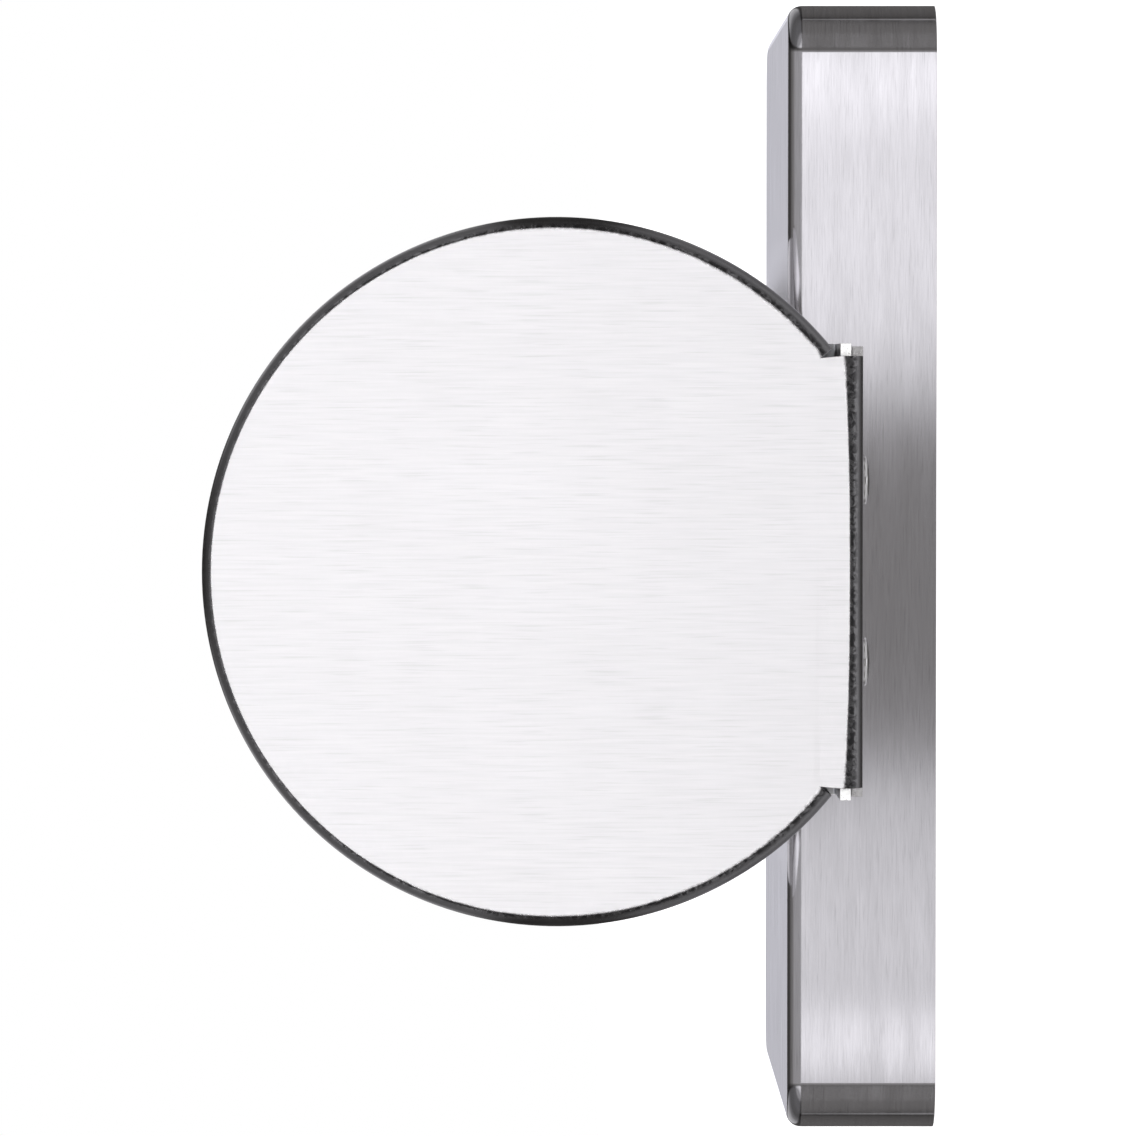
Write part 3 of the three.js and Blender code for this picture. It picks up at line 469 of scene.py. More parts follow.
def new_object(name, mesh):
    obj = bpy.data.objects.new(name, mesh)
    bpy.context.scene.collection.objects.link(obj)
    return obj


def weighted(obj):
    """Shading that follows the large faces, so that small round edges stay small."""
    shade = obj.modifiers.new("shading", "WEIGHTED_NORMAL")
    shade.weight = 60
    return obj


def soften(obj, width, segments=2):
    """Small round edges, with the flat faces kept flat in the shading."""
    for polygon in obj.data.polygons:
        polygon.use_smooth = True
    edges = obj.modifiers.new("soft edges", "BEVEL")
    edges.width = width
    edges.segments = segments
    edges.limit_method = "ANGLE"
    edges.angle_limit = radians(35)
    edges.use_clamp_overlap = True
    return weighted(obj)


def even(half, steps):
    """Places from -half to half, evenly spaced."""
    return [half * (2 * i / steps - 1) for i in range(steps + 1)]


def circle_points(radius, steps):
    return [(radius * cos(2 * pi * i / steps), radius * sin(2 * pi * i / steps)) for i in range(steps)]


class Sheet:
    """A piece of sheet metal: a front skin, the same skin one thickness behind it, and the cut edges.

    A row is a list of points and a list of their places on the grain map.
    """

    def __init__(self):
        self.front = []
        self.back = []
        self.bends = []
        self.faces = []

    def point(self, front, back, bend=0.0):
        self.front.append(Vector(front))
        self.back.append(Vector(back))
        self.bends.append(bend)
        return len(self.front) - 1

    def strip(self, first, second):
        """Quads between two rows that run the same way, the second to the first's left."""
        (a, a_uv), (b, b_uv) = first, second
        for i in range(len(a) - 1):
            j = i + 1
            self.faces.append(((a[i], a[j], b[j], b[i]), (a_uv[i], a_uv[j], b_uv[j], b_uv[i])))

    def ring_strip(self, first, second):
        """The same between two rows that close on themselves."""
        self.strip(*((points + points[:1], uvs + uvs[:1]) for points, uvs in (first, second)))

    def hole(self, at, radius, steps, front, back):
        """A ring of points for a hole. front and back turn (x, y) in the sheet's plane into places."""
        spots = [(at[0] + x, at[1] + y) for x, y in circle_points(radius, steps)]
        return [self.point(front(*spot), back(*spot)) for spot in spots]

    def patch(self, outline, holes, normal, uv):
        """Triangles that fill a flat outline round its holes. uv gives a place on the grain map."""
        loops = [outline, *holes]
        order = [index for loop in loops for index in loop]
        triangles = [[order[i] for i in triangle] for triangle in
                     tessellate_polygon([[self.front[i] for i in loop] for loop in loops])]
        facing = 0.0
        for corners in triangles:
            a, b, c = (self.front[i] for i in corners)
            facing += (b - a).cross(c - a).dot(normal)
        for corners in triangles:
            if facing < 0:
                corners.reverse()
            self.faces.append((corners, [uv(self.front[i]) for i in corners]))

    def build(self, name, slot, thickness=SHEET, edge=CUT_EDGE_ROUND):
        count = len(self.front)
        sides = {}
        polygons, maps = [], []
        for corners, uvs in self.faces:
            for i, a in enumerate(corners):
                j = (i + 1) % len(corners)
                sides.setdefault((a, corners[j]), (uvs[i], uvs[j]))
            polygons += [list(corners), [i + count for i in reversed(corners)]]
            maps += [list(uvs), list(reversed(uvs))]
        kinds = [0] * len(polygons)
        for (a, b), (uv_a, uv_b) in sides.items():
            if (b, a) in sides:
                continue
            along = Vector(uv_b) - Vector(uv_a)
            step = along.normalized() * thickness if along.length else Vector((thickness, 0))
            across = Vector((-step.y, step.x))
            polygons.append([b, a, a + count, b + count])
            maps.append([uv_b, uv_a, Vector(uv_a) + across, Vector(uv_b) + across])
            kinds.append(1)
        mesh = bpy.data.meshes.new(name)
        mesh.from_pydata(self.front + self.back, [], polygons)
        layer = mesh.uv_layers.new(name="grain")
        layer.data.foreach_set("uv", [value for uvs in maps for uv in uvs for value in uv])
        mesh.polygons.foreach_set("material_index", kinds)
        bend = mesh.attributes.new("bend", "FLOAT", "POINT")
        bend.data.foreach_set("value", self.bends * 2)
        mesh.materials.append(MATERIALS[slot])
        mesh.materials.append(ZINC_EDGE if slot == "zinc_steel" else CUT_EDGE)
        mesh.validate()
        mesh.update()
        return soften(new_object(name, mesh), edge, segments=3)


# ---- Base cover -------------------------------------------------------------------------------------


def rounded_rectangle(half_length, half_width, radius):
    """Places round a rectangle with round corners, counter-clockwise."""
    arcs = []
    for side_x, side_y, start in ((1, 1, 0), (-1, 1, 90), (-1, -1, 180), (1, -1, 270)):
        centre = Vector((side_x * (half_length - radius), side_y * (half_width - radius)))
        angles = [radians(start + 90 * i / PAN_CORNER_STEPS) for i in range(PAN_CORNER_STEPS + 1)]
        arcs.append([centre + radius * Vector((cos(angle), sin(angle))) for angle in angles])
    outline = []
    for arc, following in zip(arcs, arcs[1:] + arcs[:1]):
        outline += arc
        outline += [arc[-1].lerp(following[0], j / PAN_SIDE_STEPS) for j in range(1, PAN_SIDE_STEPS)]
    return outline


def base_holes(sheet, top):
    """The screw holes and the cable hole that the cover and the chassis share. top is the sheet's top."""
    bolts = [middle(f"chassis_bolt_{i}") for i in range(1, 5)]
    bolts += [middle(f"bracket_bolt_{side}") for side in SIDES]
    places = [(bolt, BOLT_HOLE, 24) for bolt in bolts]
    places.append((Vector((0, middle("cable_grommet").y)), CABLE_HOLE, 40))
    return [sheet.hole(at, radius, steps, lambda x, y: (x, y, top), lambda x, y: (x, y, top - SHEET))
            for at, radius, steps in places]


def make_base_cover():
    half_length, half_width, height = PAN_HIGH
    inner_bend = PAN_BEND - SHEET
    shoulder = height - PAN_BEND
    sections = [(0, z, SHEET, z) for z in (low("base_cover").z, shoulder * 0.5, shoulder)]
    for i in range(1, BEND_STEPS + 1):
        angle = pi / 2 * i / BEND_STEPS
        back = 1 - cos(angle)
        sections.append((PAN_BEND * back, shoulder + PAN_BEND * sin(angle),
                         SHEET + inner_bend * back, shoulder + inner_bend * sin(angle)))
    sheet = Sheet()
    rings = []
    for inset, z, back_inset, back_z in sections:
        outside = rounded_rectangle(half_length - inset, half_width - inset, PAN_CORNER - inset)
        inside = rounded_rectangle(half_length - back_inset, half_width - back_inset, PAN_CORNER - back_inset)
        rings.append([sheet.point((*o, z), (*i, back_z)) for o, i in zip(outside, inside)])
    outer = rounded_rectangle(half_length, half_width, PAN_CORNER)
    around = [0.0]
    for a, b in zip(outer, outer[1:] + outer[:1]):
        around.append(around[-1] + (b - a).length)
    rise = 0.0
    for lower, upper in zip(rings, rings[1:]):
        step = (sheet.front[upper[0]] - sheet.front[lower[0]]).length
        sheet.strip((lower + lower[:1], [(u, rise) for u in around]),
                    (upper + upper[:1], [(u, rise + step) for u in around]))
        rise += step
    sheet.patch(rings[-1], base_holes(sheet, height), Vector((0, 0, 1)), lambda p: (p.x, p.y + 0.1))
    finish_piece(sheet.build("cover_pan", "cover_steel"), "base_cover")


# ---- Caps -------------------------------------------------------------------------------------------


def scuff(width):
    """How scuffed a bend is, at a distance in from its outer edge."""
    return min(1.0, max(0.0, (width - PLAIN_BAND) / SCUFF_FADE))


def ground_start(a):
    """Where round the arc's bend the flat ends: it is ground further into the bend towards the chord."""
    crown, chord = ARC_BAND
    return asin(1 - (crown + (chord - crown) * ((1 - sin(a)) / 2) ** 1.3) / CAP_BEND)


def chord_start(x):
    """The same for the chord's bend: the flat is ground furthest into it half way along."""
    centre, end = CHORD_BAND
    return asin(1 - (centre + (end - centre) * (abs(x) / NECK_HALF) ** 2.6) / CHORD_BEND)


def make_cap(name, node, side, window=None):
    """A D-shaped cap on the drum's axis. side is -1 for the rear end and 1 for the front end.
    It is drawn facing -Y with (across, up) plane coordinates, and turned about Z for the front."""
    def place(across, y, up):
        return Vector((-side * across, side * -y, DRUM_AXIS_Z + up))

    sheet = Sheet()
    face_y, open_y = -CAP_FACE_Y, -CAP_OPEN_Y
    bend_radius = CAP_RADIUS - CAP_BEND
    angles = [ARC_END_ANGLE + (pi - 2 * ARC_END_ANGLE) * i / ARC_STEPS for i in range(ARC_STEPS + 1)]

    def arc_row(section):
        """A row round the arc. section gives (radius, y, back radius, back y, unfolded radius, scuff)."""
        points, uvs = [], []
        for a in angles:
            radius, y, back_radius, back_y, unfolded, scuffed = section(a)
            points.append(sheet.point(place(radius * cos(a), y, radius * sin(a)),
                                      place(back_radius * cos(a), back_y, back_radius * sin(a)), scuffed))
            uvs.append((unfolded * sin(a), unfolded * cos(a)))
        return points, uvs

    def flat_section(a):
        radius = bend_radius + CAP_BEND * sin(ground_start(a)) - SCUFF_WIDTH
        return radius, face_y, bend_radius - SCUFF_WIDTH, face_y + SHEET, radius, 0.0

    def bend_section(step):
        def section(a):
            start, inner = ground_start(a), pi / 2 * step
            turn = start + (pi / 2 - start) * step
            radius, inner_bend = bend_radius + CAP_BEND * sin(turn), CAP_BEND - SHEET
            return (radius, face_y + CAP_BEND * (1 - cos(turn) / cos(start)),
                    bend_radius + inner_bend * sin(inner), face_y + CAP_BEND - inner_bend * cos(inner),
                    bend_radius + CAP_BEND * turn, scuff(CAP_RADIUS - radius))
        return section

    def end_section(a):
        unfolded = bend_radius + CAP_BEND * pi / 2 + open_y - face_y - CAP_BEND
        return CAP_RADIUS, open_y, CAP_RADIUS - SHEET, open_y, unfolded, 0.0

    sections = [flat_section, *(bend_section(i / BEND_STEPS) for i in range(BEND_STEPS + 1)), end_section]
    rows = [arc_row(section) for section in sections]
    for inner, outer in zip(rows, rows[1:]):
        sheet.strip(outer, inner)

    neck = even(NECK_HALF, NECK_STEPS)
    neck_end = CHORD_Z - DRUM_AXIS_Z + CHORD_BEND

    def neck_row():
        """The edge of the plain face, just above the scuffed edge of the chord's bend."""
        ups = [neck_end - CHORD_BEND * sin(chord_start(x)) + SCUFF_WIDTH for x in neck]
        points = [sheet.point(place(x, face_y, up), place(x, face_y + SHEET, neck_end + SCUFF_WIDTH))
                  for x, up in zip(neck, ups)]
        return points, list(zip(ups, neck))

    def chord_row(step):
        points, uvs = [], []
        for x in neck:
            start, inner = chord_start(x), pi / 2 * step
            turn = start + (pi / 2 - start) * step
            inner_bend = CHORD_BEND - SHEET
            points.append(sheet.point(
                place(x, face_y + CHORD_BEND * (1 - cos(turn) / cos(start)),
                      neck_end - CHORD_BEND * sin(turn)),
                place(x, face_y + CHORD_BEND - inner_bend * cos(inner), neck_end - inner_bend * sin(inner)),
                scuff(CHORD_BEND * (1 - sin(turn)))))
            uvs.append((neck_end - CHORD_BEND * turn, x))
        return points, uvs

    chord_rows = [neck_row(), *(chord_row(i / BEND_STEPS) for i in range(BEND_STEPS + 1))]
    for upper, lower in zip(chord_rows, chord_rows[1:]):
        sheet.strip(lower, upper)
    holes = []
    if window:
        holes.append(sheet.hole((0, 0), window, 120, lambda x, up: place(x, face_y, up),
                                lambda x, up: place(x, face_y + SHEET, up)))
    sheet.patch([*rows[0][0], *chord_rows[0][0]], holes, Vector((0, side, 0)),
                lambda p: (p.z - DRUM_AXIS_Z, p.x))
    add_chord_flange(sheet, chord_rows[-1], place)
    finish_piece(sheet.build(name, "cap_steel"), node)


def add_chord_flange(sheet, bend_end, place):
    """The flat flange under the drum, a little wider than the neck, with its two screw holes."""
    chord = CHORD_Z - DRUM_AXIS_Z
    unfolded = bend_end[1][0][0]
    start = CAP_FACE_Y - CHORD_BEND
    front = SCUFF_WIDTH - start

    def spots(places):
        return [sheet.point(place(x, y, chord), place(x, y, chord + SHEET)) for x, y in places]

    neck = [x for _, x in bend_end[1]]
    across = spots((x, front) for x in neck)
    sheet.strip((across, [(unfolded - SCUFF_WIDTH, x) for x in neck]), bend_end)
    ear, ear_front = EAR_HALF - EAR_SETBACK, front + EAR_STEP
    corners = spots([(ear, ear_front), (ear, -CAP_OPEN_Y), (-ear, -CAP_OPEN_Y), (-ear, ear_front)])
    screw = middle("rear_cap_screw_right")
    holes = [sheet.hole((x, screw.y), SCREW_HOLE, 20, lambda x, y: place(x, y, chord),
                        lambda x, y: place(x, y, chord + SHEET)) for x in (-screw.x, screw.x)]
    sheet.patch([*across, *corners], holes, Vector((0, 0, -1)), lambda p: (unfolded - start + abs(p.y), p.x))


# ---- Shell, chassis ---------------------------------------------------------------------------------


def make_shell():
    """The wrapped sheet between the caps, with the hole for the release button's bushing."""
    outer = high("drum_shell").z - DRUM_AXIS_Z
    inner = outer - SHELL_THICKNESS
    foot = DRUM_AXIS_Z - low("drum_shell").z
    outer_end, inner_end = asin(foot / outer), asin(foot / inner)
    arc = outer * (pi / 2 + outer_end)
    columns, rows, patch_columns, patch_rows = 132, 44, 6, 4
    mid_column, mid_row = columns // 2, rows // 2
    sheet = Sheet()

    def at(across, y):
        """across runs from -1 at one foot over the crown to 1 at the other."""
        out = pi / 2 - across * (pi / 2 + outer_end)
        back = pi / 2 - across * (pi / 2 + inner_end)
        return sheet.point((outer * cos(out), y, DRUM_AXIS_Z + outer * sin(out)),
                           (inner * cos(back), y, DRUM_AXIS_Z + inner * sin(back)))

    grid_across = even(1, columns)
    grid_y = even(high("drum_shell").y, rows)
    index = {(i, j): at(across, y) for i, across in enumerate(grid_across) for j, y in enumerate(grid_y)
             if abs(i - mid_column) >= patch_columns or abs(j - mid_row) >= patch_rows}
    for i in range(columns):
        for j in range(rows):
            cell = [(i, j), (i + 1, j), (i + 1, j + 1), (i, j + 1)]
            in_patch = (mid_column - patch_columns <= i < mid_column + patch_columns
                        and mid_row - patch_rows <= j < mid_row + patch_rows)
            if not in_patch:
                sheet.faces.append(([index[c] for c in cell],
                                    [(grid_y[b], grid_across[a] * arc) for a, b in cell]))

    border = [(mid_column + patch_columns, mid_row + j) for j in range(-patch_rows, patch_rows)]
    border += [(mid_column - i, mid_row + patch_rows) for i in range(-patch_columns, patch_columns)]
    border += [(mid_column - patch_columns, mid_row - j) for j in range(-patch_rows, patch_rows)]
    border += [(mid_column + i, mid_row - patch_rows) for i in range(-patch_columns, patch_columns)]
    spots = [Vector((grid_across[i] * arc, grid_y[j])) for i, j in border]
    ring = ([index[c] for c in border], [(s.y, s.x) for s in spots])
    steps = 5
    for k in range(1, steps + 1):
        nearer = [s.lerp(s.normalized() * BUSHING_HOLE, k / steps) for s in spots]
        next_ring = ([at(s.x / arc, s.y) for s in nearer], [(s.y, s.x) for s in nearer])
        sheet.ring_strip(ring, next_ring)
        ring = next_ring
    finish_piece(sheet.build("drum_wrap", "shell_steel", SHELL_THICKNESS), "drum_shell")


def make_chassis():
    """The saddle that carries the drum: a web over the cover, down each long wall and out as a lip."""
    sheet = Sheet()
    top = low("magnet_bracket").z - CONTACT
    lip_top = low("rear_cap_nut_left").z - CONTACT
    lip_end = high("chassis").y
    web_out = PAN_HIGH.y + CLEARANCE + SHEET
    xs = even(EAR_HALF, SADDLE_STEPS)
    outer_bend = SADDLE_BEND + SHEET
    profile = []
    quarter = [pi / 2 * i / BEND_STEPS for i in range(BEND_STEPS + 1)]
    for turn in quarter:
        y, z = web_out - outer_bend, top - outer_bend
        profile.append((y + outer_bend * sin(turn), z + outer_bend * cos(turn),
                        y + SADDLE_BEND * sin(turn), z + SADDLE_BEND * cos(turn)))
    for turn in quarter:
        y, z = web_out + SADDLE_BEND, lip_top + SADDLE_BEND
        profile.append((y - SADDLE_BEND * cos(turn), z - SADDLE_BEND * sin(turn),
                        y - outer_bend * cos(turn), z - outer_bend * sin(turn)))

    def half_saddle(side):
        rows = []
        run = web_out
        before = profile[0]
        for y, z, back_y, back_z in profile:
            run += hypot(y - before[0], z - before[1])
            before = (y, z)
            points = [sheet.point((x, side * y, z), (x, side * back_y, back_z), 0.4) for x in xs]
            rows.append((points, [(x, side * run) for x in xs]))
        for near, far in zip(rows, rows[1:]):
            sheet.strip(*((near, far) if side > 0 else (far, near)))
        return rows

    front, rear = half_saddle(1), half_saddle(-1)
    sheet.patch([*rear[0][0], *reversed(front[0][0])], base_holes(sheet, top), Vector((0, 0, 1)),
                lambda p: (p.x, p.y))
    screw = middle("front_cap_screw_right")
    for side, rows in ((1, front), (-1, rear)):
        ends = [sheet.point((x, side * lip_end, lip_top), (x, side * lip_end, lip_top - SHEET))
                for x in (EAR_HALF, -EAR_HALF)]
        holes = [sheet.hole((x, side * screw.y), SCREW_HOLE, 20, lambda x, y: (x, y, lip_top),
                            lambda x, y: (x, y, lip_top - SHEET)) for x in (-screw.x, screw.x)]
        sheet.patch([*rows[-1][0], *ends], holes, Vector((0, 0, 1)), lambda p: (p.x, p.y))
    finish_piece(sheet.build("chassis_saddle", "zinc_steel", edge=SADDLE_EDGE_ROUND), "chassis")


# ---- Turned parts, screws, nuts and springs ---------------------------------------------------------

UPRIGHT = Matrix.Identity(4)
ALONG_Y = Matrix.Rotation(radians(-90), 4, "X")
HANGING = Matrix.Rotation(pi, 4, "X")


def rounded(profile, edge, closed):
    """The profile with a small round at each corner."""
    points = [Vector(p) for p in profile]
    count = len(points)
    made = []
    for i, corner in enumerate(points):
        if not closed and i in (0, count - 1):
            made.append(corner)
            continue
        before, after = points[i - 1] - corner, points[(i + 1) % count] - corner
        reach = min(edge, before.length * 0.4, after.length * 0.4)
        start, end = corner + before.normalized() * reach, corner + after.normalized() * reach
        for t in (0.0, 0.33, 0.67, 1.0):
            made.append(start.lerp(corner, t).lerp(corner.lerp(end, t), t))
    return made


def level_ring(work, outline, z):
    return [work.verts.new((x, y, z)) for x, y in outline]


def bridge(work, lower, upper):
    """Faces between two rings. Corners that fall together, as on an axis, count once."""
    for i in range(len(lower)):
        j = (i + 1) % len(lower)
        corners = list(dict.fromkeys((lower[i], lower[j], upper[j], upper[i])))
        if len(corners) > 2:
            work.faces.new(corners)


def bridge_all(work, rings):
    for lower, upper in zip(rings, rings[1:]):
        bridge(work, lower, upper)


def close_mesh(work, name):
    bmesh.ops.recalc_face_normals(work, faces=work.faces)
    for face in work.faces:
        face.smooth = True
    mesh = bpy.data.meshes.new(name)
    work.to_mesh(mesh)
    work.free()
    return mesh


def lathe_mesh(name, profile, steps, edge):
    """A profile of (radius, height) turned about Z. It ends on the axis at both ends, or is closed."""
    closed = profile[0][0] > 0
    work = bmesh.new()
    rings = []
    for radius, z in rounded(profile, edge, closed):
        if radius < 1e-7:
            rings.append([work.verts.new((0, 0, z))] * steps)
        else:
            rings.append(level_ring(work, circle_points(radius, steps), z))
    bridge_all(work, rings + rings[:1] if closed else rings)
    return close_mesh(work, name)


def put(name, mesh, node, slot, at, turn=UPRIGHT):
    """A mesh drawn at the origin, made into a piece at its place."""
    placed = mesh.copy()
    placed.name = name
    placed.transform(Matrix.Translation(at) @ turn)
    placed.materials.clear()
    placed.materials.append(MATERIALS[slot])
    return finish_piece(weighted(new_object(name, placed)), node)


def turned_piece(name, node, slot, profile, steps, edge, at=DRUM_CENTRE, turn=ALONG_Y):
    """profile is (radius, place along the axis)."""
    put(name, lathe_mesh(name, profile, steps, edge), node, slot, at, turn)


def threaded_rod(work, radius, pitch, length, steps):
    """An open threaded surface from -length up to 0. Its first and last rings are plain circles."""
    per_turn = 6
    depth = 0.55 * pitch
    count = round(length / pitch * per_turn)
    rings = []
    for k in range(count + 1):
        rise = length * k / count
        fade = min(1.0, 3 * k / per_turn, 3 * (count - k) / per_turn)
        ring = []
        for i, (x, y) in enumerate(circle_points(1, steps)):
            groove = abs(2 * ((rise / pitch - i / steps) % 1.0) - 1) * depth * fade
            ring.append(work.verts.new(((radius - groove) * x, (radius - groove) * y, rise - length)))
        rings.append(ring)
    bridge_all(work, rings)
    return rings[0], rings[-1]


def cut_mesh(mesh, tool, name):
    """The mesh with the tool's volume taken away."""
    body, cutter = new_object(name, mesh), new_object("cutter", tool)
    cut = body.modifiers.new("cut", "BOOLEAN")
    cut.object, cut.operation, cut.solver = cutter, "DIFFERENCE", "EXACT"
    graph = bpy.context.evaluated_depsgraph_get()
    made = bpy.data.meshes.new_from_object(body.evaluated_get(graph))
    bpy.data.objects.remove(body)
    bpy.data.objects.remove(cutter)
    return made


def cross_tool(arm, half_width, depth, top):
    """A tapered cross-shaped punch that reaches depth below top."""
    work = bmesh.new()
    rows = []
    for z, scale in ((top - depth, 0.45), (top + depth, 1.4)):
        reach, half = arm * scale, half_width * (0.6 + 0.4 * scale)
        outline = []
        for cosine, sine in ((1, 0), (0, -1), (-1, 0), (0, 1)):
            outline += [(x * cosine - y * sine, x * sine + y * cosine)
                        for x, y in ((half, reach), (half, half), (reach, half))]
        rows.append(level_ring(work, outline, z))
    bridge(work, *rows)
    for row in rows:
        work.faces.new(row)
    return close_mesh(work, "cross")


def screw_mesh(name, shank, head, head_height, length, pitch):
    """A cross-recessed screw with its seat at z = 0, a domed head above it and a threaded shank below."""
    work = bmesh.new()
    steps = 48
    dome = [(head * 0.97, 0.0), (head, head_height * 0.12), (head * 0.985, head_height * 0.32)]
    for i in range(1, 8):
        angle = pi / 2 * i / 8
        dome.append((head * 0.98 * cos(angle) ** 0.75, head_height * (0.32 + 0.68 * sin(angle))))
    rings = [level_ring(work, circle_points(radius, steps), z) for radius, z in dome]
    bridge_all(work, rings)
    work.faces.new(rings[-1])
    tip, neck = threaded_rod(work, shank, pitch, length, steps)
    work.faces.new(tip)
    bridge(work, neck, rings[0])
    recess = cross_tool(head * 0.62, head * 0.13, head_height * 0.75, head_height)
    return cut_mesh(close_mesh(work, name), recess, name)


def nut_mesh(name, flats, bore, height):
    """A hexagonal nut from z = 0 up, with its corners and its bore chamfered."""
    per_side = 10
    half = flats / 2
    chamfer = half * 0.97
    slope = tan(radians(30))
    directions = circle_points(1, 6 * per_side)
    corners = [half / cos((i % per_side) / per_side * pi / 3 - pi / 6) for i in range(6 * per_side)]
    drops = [max(0.0, corner - chamfer) * slope for corner in corners]
    work = bmesh.new()

    def ring(radii, heights):
        return [work.verts.new((x * radius, y * radius, z))
                for (x, y), radius, z in zip(directions, radii, heights)]

    def round_ring(radius, z):
        return level_ring(work, circle_points(radius, 6 * per_side), z)

    rings = [round_ring(bore, height * 0.12), round_ring(bore, height * 0.88), round_ring(bore * 1.1, height),
             round_ring(chamfer, height), ring(corners, [height - drop for drop in drops]),
             ring(corners, drops), round_ring(chamfer, 0.0), round_ring(bore * 1.1, 0.0)]
    bridge_all(work, rings + rings[:1])
    return close_mesh(work, name)


def spring_mesh(name, radius, wire, length, turns):
    """A compression spring from z = 0 up, with its end turns closed and ground flat."""
    per_turn, sides = 40, 14
    closing, closed_rise = 0.14, 0.16  # share of the wire in each closed end, and evenly spread rise
    ground = 0.25 * wire
    count = turns * per_turn
    work = bmesh.new()
    rings = []
    for k in range(count + 1):
        t = k / count
        angle = 2 * pi * turns * t
        open_rise = min(1, max(0, (t - closing) / (1 - 2 * closing)))
        z = wire + (length - 2 * wire) * (open_rise * (1 - closed_rise) + t * closed_rise)
        out = Vector((cos(angle), sin(angle), 0))
        ring = []
        for across, up in circle_points(wire, sides):
            spot = out * (radius + across) + Vector((0, 0, z + up))
            spot.z = min(max(spot.z, ground), length - ground)
            ring.append(work.verts.new(spot))
        rings.append(ring)
    bridge_all(work, rings)
    work.faces.new(rings[0])
    work.faces.new(rings[-1])
    return close_mesh(work, name)


M3_HEAD, M4_HEAD = 0.75 * MM, 2.6 * MM  # heights of the screw heads
CAP_SCREW_TWIST = {"left": 28, "right": 63}  # how far each was turned when it got tight, in degrees


def make_fasteners():
    m3 = screw_mesh("m3_screw", 1.45 * MM, 2.55 * MM, M3_HEAD, 6.5 * MM, 0.5 * MM)
    m4 = screw_mesh("m4_screw", 1.95 * MM, 3.6 * MM, M4_HEAD, 10 * MM, 0.7 * MM)

    def put_nut(name, mesh, node, slot="zinc_steel"):
        put(name, mesh, node, slot, above_middle(node, low(node).z))

    m3_nut = nut_mesh("m3_nut", 5.5 * MM, SCREW_HOLE, 2.4 * MM)
    for end in ("rear", "front"):
        for side in SIDES:
            node = f"{end}_cap_screw_{side}"
            twist = Matrix.Rotation(radians(CAP_SCREW_TWIST[side]), 4, "Z")
            put(f"{end}_screw_{side}", m3, node, "screw_steel", above_middle(node, low(node).z + M3_HEAD),
                HANGING @ twist)
            put_nut(f"{end}_nut_{side}", m3_nut, f"{end}_cap_nut_{side}")
    bolts = [(f"chassis_bolt_{i}", f"saddle_bolt_{i}") for i in range(1, 5)]
    bolts += [(f"bracket_bolt_{side}", f"angle_bolt_{side}") for side in SIDES]
    for i, (node, name) in enumerate(bolts):
        put(name, m4, node, "zinc_steel", above_middle(node, high(node).z - M4_HEAD),
            Matrix.Rotation(radians(17 + 40 * i), 4, "Z"))
    m4_nut = nut_mesh("m4_nut", 7 * MM, BOLT_HOLE, 3.2 * MM)
    for side in SIDES:
        put_nut(f"angle_nut_{side}", m4_nut, f"bracket_nut_{side}")
    post = nut_mesh("post", 7 * MM, BOLT_HOLE, high("support_post_1").z - low("support_post_1").z)
    for i in range(1, 5):
        put_nut(f"standoff_{i}", post, f"support_post_{i}")
    ring_nut = nut_mesh("bushing_ring", 15 * MM, BUSHING_HOLE, 2 * MM)
    put_nut("bushing_ring_nut", ring_nut, "bushing_nut", "brass")


def make_magnet():
    radius, face, back = high("magnet_pot").x, high("magnet_pot").y, low("magnet_pot").y
    room, floor = radius - 3.5 * MM, back + 5 * MM
    bolt_hole, bolt_end = 4.3 * MM, back + 10 * MM
    turned_piece("pot_turned", "magnet_pot", "magnet_iron", [
        (bolt_hole, back), (radius, back), (radius, face), (room, face), (room, floor), (bolt_hole, floor)],
        128, 0.4 * MM)
    core, core_back = 9 * MM, low("magnet_core").y
    bore, bore_end = 4 * MM, face - 14 * MM
    turned_piece("core_turned", "magnet_core", "magnet_iron", [
        (0, bolt_end), (bolt_hole, bolt_end), (bolt_hole, core_back), (core, core_back),
        (core, face), (bore, face), (bore, bore_end), (0, bore_end)], 96, 0.3 * MM)
    inner, outer = core + CONTACT, high("potting_ring").x
    resin_back, resin_face, dish = low("potting_ring").y, high("potting_ring").y, 0.35 * MM
    turned_piece("resin_ring", "potting_ring", "potting_resin", [
        (inner, resin_back), (outer, resin_back), (outer, resin_face),
        ((inner + outer) / 2, resin_face - dish), (inner, resin_face)], 96, 0.5 * MM)
    bush_bore, bush_out = 2.1 * MM, high("ejector_bush").x
    bush_back, bush_face = low("ejector_bush").y, high("ejector_bush").y
    turned_piece("bush_turned", "ejector_bush", "brass", [
        (bush_bore, bush_back), (bush_out, bush_back), (bush_out, bush_face), (bush_bore, bush_face)],
        64, 0.25 * MM)
    pin, collar = 1.95 * MM, high("ejector_pin").x
    pin_back, tip = low("ejector_pin").y, high("ejector_pin").y
    collar_end = pin_back + 3 * MM
    dome = [(pin * cos(a), tip - pin * 0.5 * (1 - sin(a))) for a in (0.0, 0.4, 0.8, 1.15, 1.4)]
    turned_piece("push_pin", "ejector_pin", "white_nylon", [
        (0, pin_back), (collar, pin_back), (collar, collar_end), (pin, collar_end), *dome, (0, tip)],
        48, 0.1 * MM)


